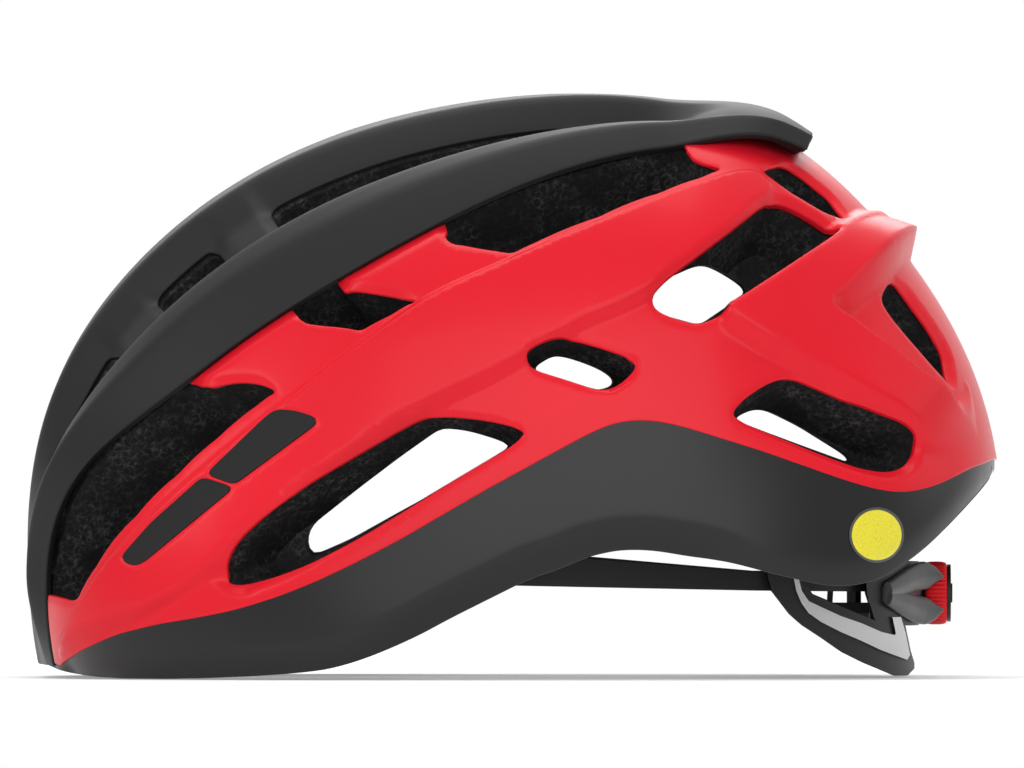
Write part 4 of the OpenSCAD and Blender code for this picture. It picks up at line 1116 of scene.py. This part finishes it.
def side_lip(p):
    """Lip of the outer edge: deeper over the rolled rim, and where it leaves the crown round an open vent."""
    u, q = (p / SCALE).T
    x, y, z = outer_point(u, q, 0.0).T
    vent = (y > 1.01 * along(CROWN_Y, u)) & (u < 102) & (z > np.interp(x, *np.transpose(RIM_TOP)) + 6)
    fall = forms.side(u, q) - forms.roll(u, q)
    small = lip_along(0.3, 1.6, len(p), np.maximum(fall - 0.6, 0))
    deep = lip_profile(size("lip"), 0.5 * size("wall"))[:, None, :]
    share = np.mean([np.roll(vent.astype(float), k) for k in range(-3, 4)], 0)[None, :, None]
    return small * (1 - share) + deep * share


class HELMET_OT_sides(bpy.types.Operator):
    """Glossy side shells with their rib, wing and rolled vents."""

    bl_idname = "helmet.sides"
    bl_label = "Side shells"

    def execute(self, context):
        loops = [side_region()] + [forms.vents[name][0].top.uq * SCALE for name in CLOSED_VENTS]
        lips = [side_lip] + [lip_profile(size("lip"), size("wall") * k) for k in CLOSED_VENTS.values()]
        right = trimmed_shell(loops, size("net"), side_lift, size("shell_t"), lips, forms.creases())
        paint = gloss_shell_finish("shell gloss", colour("shell"))
        for side, mesh in (("right", right), ("left", mirrored(*right))):
            obj = solid("side_shell_skin_" + side, *mesh)
            dress(obj, paint, "helmet", "side_shell_" + side)
        return {"FINISHED"}


def crown_loops():
    """Edge and vents of the crown in scaled angle and share."""
    u = np.linspace(CROWN_START, CROWN_END, 240)
    f = np.linspace(-1, 1, 100)[1:-1]
    edge = np.vstack([
        np.stack([u, np.full(len(u), -1.0)], -1),
        np.stack([np.full(len(f), CROWN_END), f], -1),
        np.stack([u[::-1], np.ones(len(u))], -1),
        np.stack([np.full(len(f), CROWN_START), f[::-1]], -1),
    ])
    loops = [edge * CROWN_SCALE]
    for a, b in CHANNEL_VENTS:
        for s in (-1, 1):
            near, far = CHANNEL_NEAR * s, CHANNEL_FAR * s
            box = np.array([(a, near), (b, near), (b, far), (a, far)])
            loops.append(rounded(box * CROWN_SCALE, VENT_CORNER))
    for a, b in MIDDLE_VENTS:
        h = MIDDLE_HALF / along(CROWN_Y, 0.5 * (a + b))
        half = [(a, 0.6 * h), (a + 3, h), (b - 3, h), (b, 0.6 * h)]
        box = np.array([(u, -f) for u, f in half] + half[::-1])
        loops.append(rounded(box * CROWN_SCALE, VENT_CORNER))
    return [resample(loop, 1.2) for loop in loops]


def crown_lip(p):
    """Lip of the crown's edge, deeper and drawn in at the tail."""
    end = ease(106.5, 110.2, p[:, 0] / CROWN_SCALE[0])
    return lip_along(0.7, 2.2, len(p), 2.6 * end, 1.4 * end)


class HELMET_OT_crown(bpy.types.Operator):
    """Matte crown shell with its channels, creased ribs and thick tail."""

    bl_idname = "helmet.crown"
    bl_label = "Crown shell"

    def execute(self, context):
        loops = crown_loops()
        lips = [crown_lip] + [lip_profile(0.7, 3.0)] * (len(loops) - 1)
        mesh = trimmed_shell(loops, size("net") * 1.1, crown_lift, size("shell_t"), lips)
        paint = matte_moulding_finish("crown soft matte", colour("crown"), 0.5, shine=0.2)
        dress(solid("crown_skin", *mesh), paint, "helmet", "crown_shell")
        return {"FINISHED"}


class HELMET_OT_rim(bpy.types.Operator):
    """Satin rim shell that rolls under at its lower edge."""

    bl_idname = "helmet.rim"
    bl_label = "Rim shell"

    def execute(self, context):
        low = edge_line(RIM_EDGE, 5.0)
        least = np.where(low[:, 0] < 40, crown_side(low[:, 0], 1.0)[:, 1], 0.5)
        low = low[low[:, 1] > least]
        top = edge_line(RIM_TOP, 5.0, RIM_OVER)
        top = top[top[:, 1] > 0.5]
        low, top = (resample_open(np.vstack([line, [[end, 0]]]) * SCALE, 300)[:, None] / SCALE
                    for line, end in ((low, RIM_LOW_END), (top, RIM_TOP_END)))
        t = np.linspace(0, 1, 26)[None, :, None] ** 1.15
        uq = low * (1 - t) + top * t
        uq = np.concatenate([uq, uq[::-1][1:] * [1, -1]])
        u, q = uq[..., 0], uq[..., 1]
        p = outer_point(u, q, RIM_SUNK + forms.roll(u, q))
        rise = np.gradient(p, axis=1)
        up = unit(np.cross(np.gradient(p, axis=0), rise))
        up *= np.sign(np.sum(up * (p - [0, 0, 60]), -1, keepdims=True))
        rise = unit(rise)
        feet_rows = [p[:, 0] - a * rise[:, 0] - b * up[:, 0] for a, b in lip_profile(0.4, 2.2)[::-1]]
        head_rows = [p[:, -1] + a * rise[:, -1] - b * up[:, -1] for a, b in lip_profile(0.35, 1.6)]
        rows = np.stack(feet_rows + [p[:, k] for k in range(p.shape[1])] + head_rows, 1)
        m, k = rows.shape[:2]
        faces = grid_faces(m, k, wrap_cols=True)[:, ::-1]
        paint = matte_moulding_finish("rim satin", colour("rim"), 0.3, 1400.0, 0.00002, 0.08, 0.25)
        obj = solid("rim_skin", rows.reshape(-1, 3), faces, end_faces(m, k))
        dress(obj, paint, "helmet", "rim_shell")
        return {"FINISHED"}


class HELMET_OT_inlays(bpy.types.Operator):
    """Matte inlay panels and the reflector disc."""

    bl_idname = "helmet.inlays"
    bl_label = "Inlays and disc"

    def execute(self, context):
        paint = matte_moulding_finish("inlay matte", colour("inlay"), 0.6, shine=0.2)
        lip = lip_profile(0.25, 0.8)
        edges = [panel.top.uq * SCALE for panel in forms.panels]
        low, high = (trimmed_shell([edge], 1.2, lambda p, d: side_lift(p, d + INLAY_HIGH), INLAY_T, [lip])
                     for edge in edges)
        right = np.vstack([low[0], high[0]]), np.vstack([low[1], high[1] + len(low[0])])
        for side, mesh in (("right", right), ("left", mirrored(*right))):
            obj = solid("inlay_skin_" + side, *mesh)
            dress(obj, paint, "helmet", "inlay_panels_" + side, 50)
        a = np.radians(np.arange(0, 360, 4))
        ring = chart(np.stack([DISC_X + DISC_R * np.cos(a), DISC_Z + DISC_R * np.sin(a)], -1)) * SCALE
        verts, faces = mirrored(*trimmed_shell([ring], 1.0, disc_lift, DISC_T, [lip_profile(0.15, DISC_T)]))
        centre = (DISC_X * 0.001, np.mean(verts[:, 1]) * 0.001, DISC_Z * 0.001)
        paint = disc_finish("disc film", colour("disc"), centre)
        dress(solid("disc_film", verts, faces), paint, "helmet", "reflector_disc", 50)
        return {"FINISHED"}


def vent_cutters():
    """Solids of the vents on the right side: deep ones follow the normal, pockets stop, holes run along Y."""
    solids = []
    for name, (plate, _) in forms.vents.items():
        uq = resample(grown(resample(plate.top.uq * SCALE, 1.5), 0.5), 0, 90) / SCALE
        mid = uq.mean(0)
        small = mid + (uq - mid) * DEEP_VENTS.get(name, POCKET_SHARE)
        if name in DEEP_VENTS:
            floor = inner_point(*small.T, -TOOL_OUT)
        else:
            floor = outer_point(*small.T, POCKET)
        t = np.linspace(0, 1, 9)[:, None, None]
        rings = outer_point(*uq.T, TOOL_FLUSH) * (1 - t) + floor * t
        solids.append(loft(np.concatenate([rings[::-1], outer_point(*uq.T, TOOL_OUT)[None]])))
    for points in HOLES:
        solids.append(across_prism(resample(turned(rounded(points, 3.0), 1), 0, 80), (130.0, 0.0)))
    return solids


def crown_cutters():
    """Solids of the crown's channel and middle vents."""
    solids = []
    for loop in crown_loops()[1:]:
        u, f = (resample(loop, 0, 70) / CROWN_SCALE).T
        uq = crown_side(u, f)
        solids.append(loft(np.stack([inner_point(*uq.T, -TOOL_OUT), outer_point(*uq.T, TOOL_OUT)])))
    return solids


def below_rim(lift):
    """Prism of everything under the rim line raised by lift."""
    edge = rounded(np.array(RIM_EDGE + [(160, 78)]), 5.0)[3:-3] + [0, lift]
    return across_prism(np.vstack([edge, [(165, -70), (-165, -70)]]), (-140.0, 140.0))


def tools(solids, both=False):
    """Objects of a list of solids for carving, with their mirror images where asked."""
    made = []
    for k, (verts, *faces) in enumerate(solids):
        made.append(mend(solid(f"cut{k}", verts, *faces)))
        if both:
            made.append(mend(solid(f"cut{k}m", verts * [1, -1, 1], *faces)))
    return made


def carve(obj, cutters):
    """Takes the cutters out of a solid and removes them."""
    for tool in cutters:
        cut = obj.modifiers.new("carve", "BOOLEAN")
        cut.operation = "DIFFERENCE"
        cut.solver = "MANIFOLD"
        cut.object = tool
    dg = bpy.context.evaluated_depsgraph_get()
    made = bpy.data.meshes.new_from_object(obj.evaluated_get(dg))
    obj.modifiers.clear()
    old = obj.data
    obj.data = made
    bpy.data.meshes.remove(old)
    for tool in cutters:
        bpy.data.objects.remove(tool)
    return obj


class HELMET_OT_foam(bpy.types.Operator):
    """Bead foam liner with its vents carved out."""

    bl_idname = "helmet.foam"
    bl_label = "Foam liner"

    def execute(self, context):
        u, q = angle_grid(109, 121)
        y = outer_point(u, q, 0.0)[..., 1]
        f = np.abs(y) / along(CROWN_Y, u)
        crown = crown_rise(u, np.minimum(f, 1.0)) - crown_tail(u)
        crown = np.where((f <= 1.03) & (u < CROWN_END), crown, ABSENT)
        filled = GROOVE_FILL * groove(u, np.abs(y)) * (1 - ease(10, 18, u))
        side = np.where((f >= 0.9) | (u > 102), forms.side(u, q) + filled, ABSENT)
        rise = np.minimum(crown, side) - FOAM_UNDER + forms.roll(u, q)
        foam = mend(solid("foam_beads", *slab(outer_point(u, q, rise), polar(u, CORE_R, y))))
        u, q = angle_grid(82, 75)
        hollow = inner_point(u, q, 0.0)
        cutters = tools([slab(hollow, polar(u, CORE_R, hollow[..., 1]))])
        cutters += tools(vent_cutters(), True)
        cutters += tools([*crown_cutters(), below_rim(0), block(*DIAL_BAY), post(STUD_X, 0, *STUD_HOLE)])
        pockets = [post(x, y, z - ANCHOR_BELOW, z + ANCHOR_ABOVE, ANCHOR_R) for x, y, z in ANCHORS]
        cutters += tools(pockets, True)
        paint = bead_foam_finish("bead foam", colour("foam"))
        dress(carve(foam, cutters), paint, "helmet", "foam_liner", 32)
        return {"FINISHED"}


class HELMET_OT_slip(bpy.types.Operator):
    """Thin slip liner inside the foam."""

    bl_idname = "helmet.slip"
    bl_label = "Slip liner"

    def execute(self, context):
        u, q = angle_grid(109, 99)
        slip = mend(solid("slip_film", *slab(inner_point(u, q, SLIP_OUT), inner_point(u, q, SLIP_IN))))
        cutters = tools(vent_cutters(), True)
        cutters += tools([*crown_cutters(), below_rim(6), post(STUD_X, 0, *STUD_CLEAR)])
        paint = matte_moulding_finish("slip film", colour("slip"), 0.4)
        dress(carve(slip, cutters), paint, "slip", "slip_liner", 32)
        return {"FINISHED"}


def pad_form(surface, centre, half, thick, rings=22, count=120):
    """Crowned pad: rings of a superellipse, a dome that falls to the edge, and a sewn groove."""
    def place(x, y, d):
        return surface(centre[0] + half[0] * x, centre[1] + half[1] * y, d)

    r = (np.arange(rings) + 1)[:, None] / rings
    a = circle(count)[None]
    x = r * np.sign(np.cos(a)) * np.abs(np.cos(a)) ** 0.4
    y = r * np.sign(np.sin(a)) * np.abs(np.sin(a)) ** 0.4
    high = np.maximum(1 - r ** 4, 0) ** 0.45 * (1 - 0.3 * np.exp(-((r - 0.8) / 0.035) ** 2))
    top = place(x, y, PAD_SEAT - thick * high + 0 * x)
    low = place(x[:-1], y[:-1], np.full(x[:-1].shape, PAD_SEAT))
    zero = np.zeros((1, 1))
    peak = place(zero, zero, zero + PAD_SEAT - thick)
    base = place(zero, zero, zero + PAD_SEAT)
    verts = np.vstack([part.reshape(-1, 3) for part in (top, low, peak, base)])
    n = rings * count
    m = n + (rings - 1) * count
    i = np.arange(count)
    j = np.roll(i, -1)
    quads = np.vstack([
        grid_faces(rings, count, wrap_cols=True),
        grid_faces(rings - 1, count, wrap_cols=True)[:, ::-1] + n,
        np.stack([m - count + i, m - count + j, n - count + j, n - count + i], -1),
    ])
    return verts, quads, np.vstack([fan(m, i), fan(m + 1, n + i)[:, [0, 2, 1]]])


def settled(y, start, d, turn):
    """Angle and distance of the head cavity at width y, by repeating the angle that a distance gives."""
    c = np.maximum(1 - (np.abs(y) / (HALF - FOAM_SIDE + d)) ** INNER_P, 1e-6) ** (1 / INNER_P)
    u = start
    for _ in range(14):
        rho = (inner_radius(u) + d) * c
        u = np.degrees(turn(rho))
    return u, rho


def inside_front(y, z, d):
    """Point of the head cavity's front at width y and height z, moved by d."""
    u, rho = settled(y, 15.0, d, lambda rho: np.arcsin(np.clip((z - EAR[1]) / rho, -1, 1)))
    return np.stack([EAR[0] - rho * np.cos(np.radians(u)), y + 0 * u, z + 0 * u], -1)


def inside_top(x, y, d):
    """Point of the head cavity's top at length x and width y, moved by d."""
    u, rho = settled(y, 90.0, d, lambda rho: np.arccos(np.clip((EAR[0] - x) / rho, -1, 1)))
    return np.stack([x + 0 * u, y + 0 * u, EAR[1] + rho * np.sin(np.radians(u))], -1)


def inside_side(x, z, d):
    """Point of the head cavity's right side at length x and height z, moved by d."""
    u = np.degrees(np.arctan2(z - EAR[1], EAR[0] - x))
    c = np.hypot(x - EAR[0], z - EAR[1]) / (inner_radius(u) + d)
    v = np.maximum(1 - np.minimum(c, 1) ** INNER_P, 0) ** (1 / INNER_P)
    return np.stack([x + 0 * u, (HALF - FOAM_SIDE + d) * v, z + 0 * u], -1)


# Surface of each pad, its centre and its half sizes.
PADS = {
    "brow_pad": (inside_front, (0, 24), (53.0, 10.0)),
    "crown_pad_right": (inside_top, (-6, 19.5), (56.0, 6.5)),
    "side_pad_right": (inside_side, (33, 59), (21.0, 13.0)),
}


class HELMET_OT_pads(bpy.types.Operator):
    """Knitted comfort pads with a sewn edge, on the slip liner."""

    bl_idname = "helmet.pads"
    bl_label = "Comfort pads"

    def execute(self, context):
        knit = pad_cloth_finish("pad knit", colour("pad"))
        for name, plan in PADS.items():
            verts, quads, tris = pad_form(*plan, size("pad"))
            sides = {name: 1.0}
            sides.setdefault(name.replace("right", "left"), -1.0)
            for node, side in sides.items():
                obj = mend(solid(node + "_cover", verts * [1, side, 1], quads, tris))
                dress(obj, knit, "slip", node)
        return {"FINISHED"}


def hand_form(rows=97, count=36):
    """Claw plate: a thin flat section carried along the cradle's ring, tall at the dial, slim at its ends."""
    a = np.radians(np.linspace(-38.0, 38.0, rows))[:, None]
    th = circle(count)[None]
    half = np.interp(np.abs(RING_R * np.sin(a)), [0, 8, 16, 26, 34], [8.6, 8.2, 6.6, 3.6, 1.6])
    r = RING_R + 0.1 + np.where(th < np.pi, 0.3 + 0.8 * np.abs(np.sin(th)) ** 0.8, 0.0)
    return np.stack([RING_X + r * np.cos(a), r * np.sin(a) + 0 * th, DIAL_Z + half * np.cos(th)], -1)


def finger_form(side, up, rows=40, count=32):
    """Claw finger: an ellipse carried from the band's end over the dial, widest at the palm, with a point."""
    s = np.linspace(0, 4, rows)
    knots = ([108.6, 113.2, 117.6, 121.6, 125.0],
             [-32.0, -23.0, -15.0, -11.2, -9.9],
             [1.0, 3.1, 4.9, 5.3, 4.7])
    lines = [np.pad(np.interp(s, np.arange(5), k), 4, mode="reflect", reflect_type="odd") for k in knots]
    path = np.stack([np.convolve(line, np.ones(9) / 9, "valid") for line in lines], -1)
    wide = np.interp(s, [0, 1, 2, 2.6, 3.2, 3.8, 4], [2.4, 3.6, 4.1, 3.9, 2.6, 0.8, 0.25])
    thick = np.interp(s, [0, 1, 2, 3, 4], [1.5, 2.0, 1.9, 1.2, 0.35])
    ahead = unit(np.gradient(path, axis=0))
    outward = unit(np.cross(ahead, [0.0, 0.0, 1.0]))
    across = np.cross(outward, ahead)
    th = circle(count)
    ring = (across[:, None] * (wide[:, None] * np.cos(th))[..., None]
            + outward[:, None] * (thick[:, None] * np.sin(th))[..., None])
    p = path[:, None] + ring
    return np.stack([p[..., 0], -side * p[..., 1], DIAL_Z + up * p[..., 2]], -1)


def knob_form(ribs=44, count=528):
    """Knob: a chamfered barrel section turned about the dial's axis, with rounded ribs along it."""
    x = np.array([119.65, 119.65, 119.75, 120.0, 120.4, 121.5, 123.0, 124.4, 125.3, 125.8, 126.1, 126.15,
                  126.15])
    r = np.array([2.1, 7.6, 8.3, 8.75, 8.95, 9.12, 9.16, 9.12, 8.95, 8.7, 8.2, 7.6, 2.1])
    a = circle(count)[None]
    grip = ease(7.9, 8.9, r)[:, None]
    wave = np.abs(np.sin(0.5 * ribs * a)) ** 0.7
    rr = r[:, None] - 0.38 * grip * (1 - wave)
    return np.stack([x[:, None] + 0 * a, rr * np.cos(a), DIAL_Z + rr * np.sin(a)], -1)


class HELMET_OT_dial(bpy.types.Operator):
    """Dial claw with four pointed fingers, and the ribbed knob."""

    bl_idname = "helmet.dial"
    bl_label = "Dial"

    def execute(self, context):
        tubes = [hand_form()] + [finger_form(side, up) for side in (-1, 1) for up in (-1, 1)]
        verts, quads, ends, count = [], [], [], 0
        for tube in tubes:
            n, m = tube.shape[:2]
            verts.append(tube.reshape(-1, 3))
            quads.append(grid_faces(n, m, wrap_cols=True) + count)
            ends.append(end_faces(n, m) + count)
            count += n * m
        paint = matte_moulding_finish("claw grey", colour("claw"), 0.32, 1600.0, 0.00001, 0.1)
        claw = mend(solid("claw_form", np.vstack(verts), np.vstack(quads), *ends))
        dress(claw, paint, "cradle", "dial_claw", 50)
        form = knob_form()
        faces = grid_faces(*form.shape[:2], wrap_rows=True, wrap_cols=True)
        paint = matte_moulding_finish("knob rubber", colour("knob"), 0.45)
        knob = solid("knob_form", form.reshape(-1, 3), faces)
        mend(dress(knob, paint, "dial", "dial_knob", 40))
        return {"FINISHED"}


class HELMET_OT_small(bpy.types.Operator):
    """Finishes of the CAD parts that stay as they are."""

    bl_idname = "helmet.small"
    bl_label = "Small parts"

    def execute(self, context):
        trim = matte_moulding_finish("trim black", colour("trim"), 0.42)
        grey = matte_moulding_finish("grey moulding", colour("grey"), 0.4)
        plan = {
            "band": matte_moulding_finish("band black", scaled(colour("trim"), 0.8), 0.5),
            "wing_inlay": gloss_shell_finish("pale inlay", colour("pale"), 0.3, 0.3),
            "dial_pinion": grey,
            "crown_stud": grey,
        }
        for name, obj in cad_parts.items():
            found = [paint for key, paint in plan.items() if name.startswith(key)]
            obj.data.materials.clear()
            obj.data.materials.append(found[0] if found else trim)
        return {"FINISHED"}


class HELMET_OT_stage(bpy.types.Operator):
    """Floor, soft light and the camera."""

    bl_idname = "helmet.stage"
    bl_label = "Stage"

    def execute(self, context):
        scene = context.scene
        scene.view_settings.view_transform = "Standard"
        floor = solid("floor", FLOOR, [[0, 1, 2, 3]])
        floor.data.materials.append(floor_finish("floor white"))
        scene.world = studio_world("studio", WORLD_DIM)
        for name, at, wide, watts in LAMPS:
            data = bpy.data.lights.new(name, "AREA")
            data.size = wide
            data.energy = watts
            lamp = bpy.data.objects.new(name, data)
            lamp.location = at
            lamp.rotation_euler = (Vector(AIM) - Vector(at)).to_track_quat("-Z", "Y").to_euler()
            scene.collection.objects.link(lamp)
        data = bpy.data.cameras.new("view")
        data.lens = LENS
        data.sensor_width = SENSOR
        data.clip_end = FAR
        camera = bpy.data.objects.new("view", data)
        camera.location = CAMERA_AT
        camera.rotation_euler = (np.pi / 2, 0, 0)
        scene.collection.objects.link(camera)
        scene.camera = camera
        return {"FINISHED"}


OPERATORS = [HELMET_OT_stage, HELMET_OT_small, HELMET_OT_sides, HELMET_OT_crown, HELMET_OT_rim,
             HELMET_OT_inlays, HELMET_OT_foam, HELMET_OT_slip, HELMET_OT_pads, HELMET_OT_dial]


class HELMET_PT_panel(bpy.types.Panel):
    """Colours, sizes and the steps in order."""

    bl_label = "Helmet"
    bl_idname = "HELMET_PT_panel"
    bl_space_type = "VIEW_3D"
    bl_region_type = "UI"
    bl_category = "Helmet"

    def draw(self, context):
        for group in (context.scene.helmet_colours, context.scene.helmet_sizes):
            for key in group.__annotations__:
                self.layout.prop(group, key)
        for operator in OPERATORS:
            self.layout.operator(operator.bl_idname)


CLASSES = [HelmetColours, HelmetSizes, *OPERATORS, HELMET_PT_panel]


def register():
    for cls in CLASSES:
        bpy.utils.register_class(cls)
    bpy.types.Scene.helmet_colours = PointerProperty(type=HelmetColours)
    bpy.types.Scene.helmet_sizes = PointerProperty(type=HelmetSizes)


def unregister():
    del bpy.types.Scene.helmet_colours
    del bpy.types.Scene.helmet_sizes
    for cls in reversed(CLASSES):
        bpy.utils.unregister_class(cls)


def main():
    """Runs every step in order."""
    register()
    for operator in OPERATORS:
        group, name = operator.bl_idname.split(".")
        getattr(getattr(bpy.ops, group), name)()


if __name__ == "__main__":
    main()
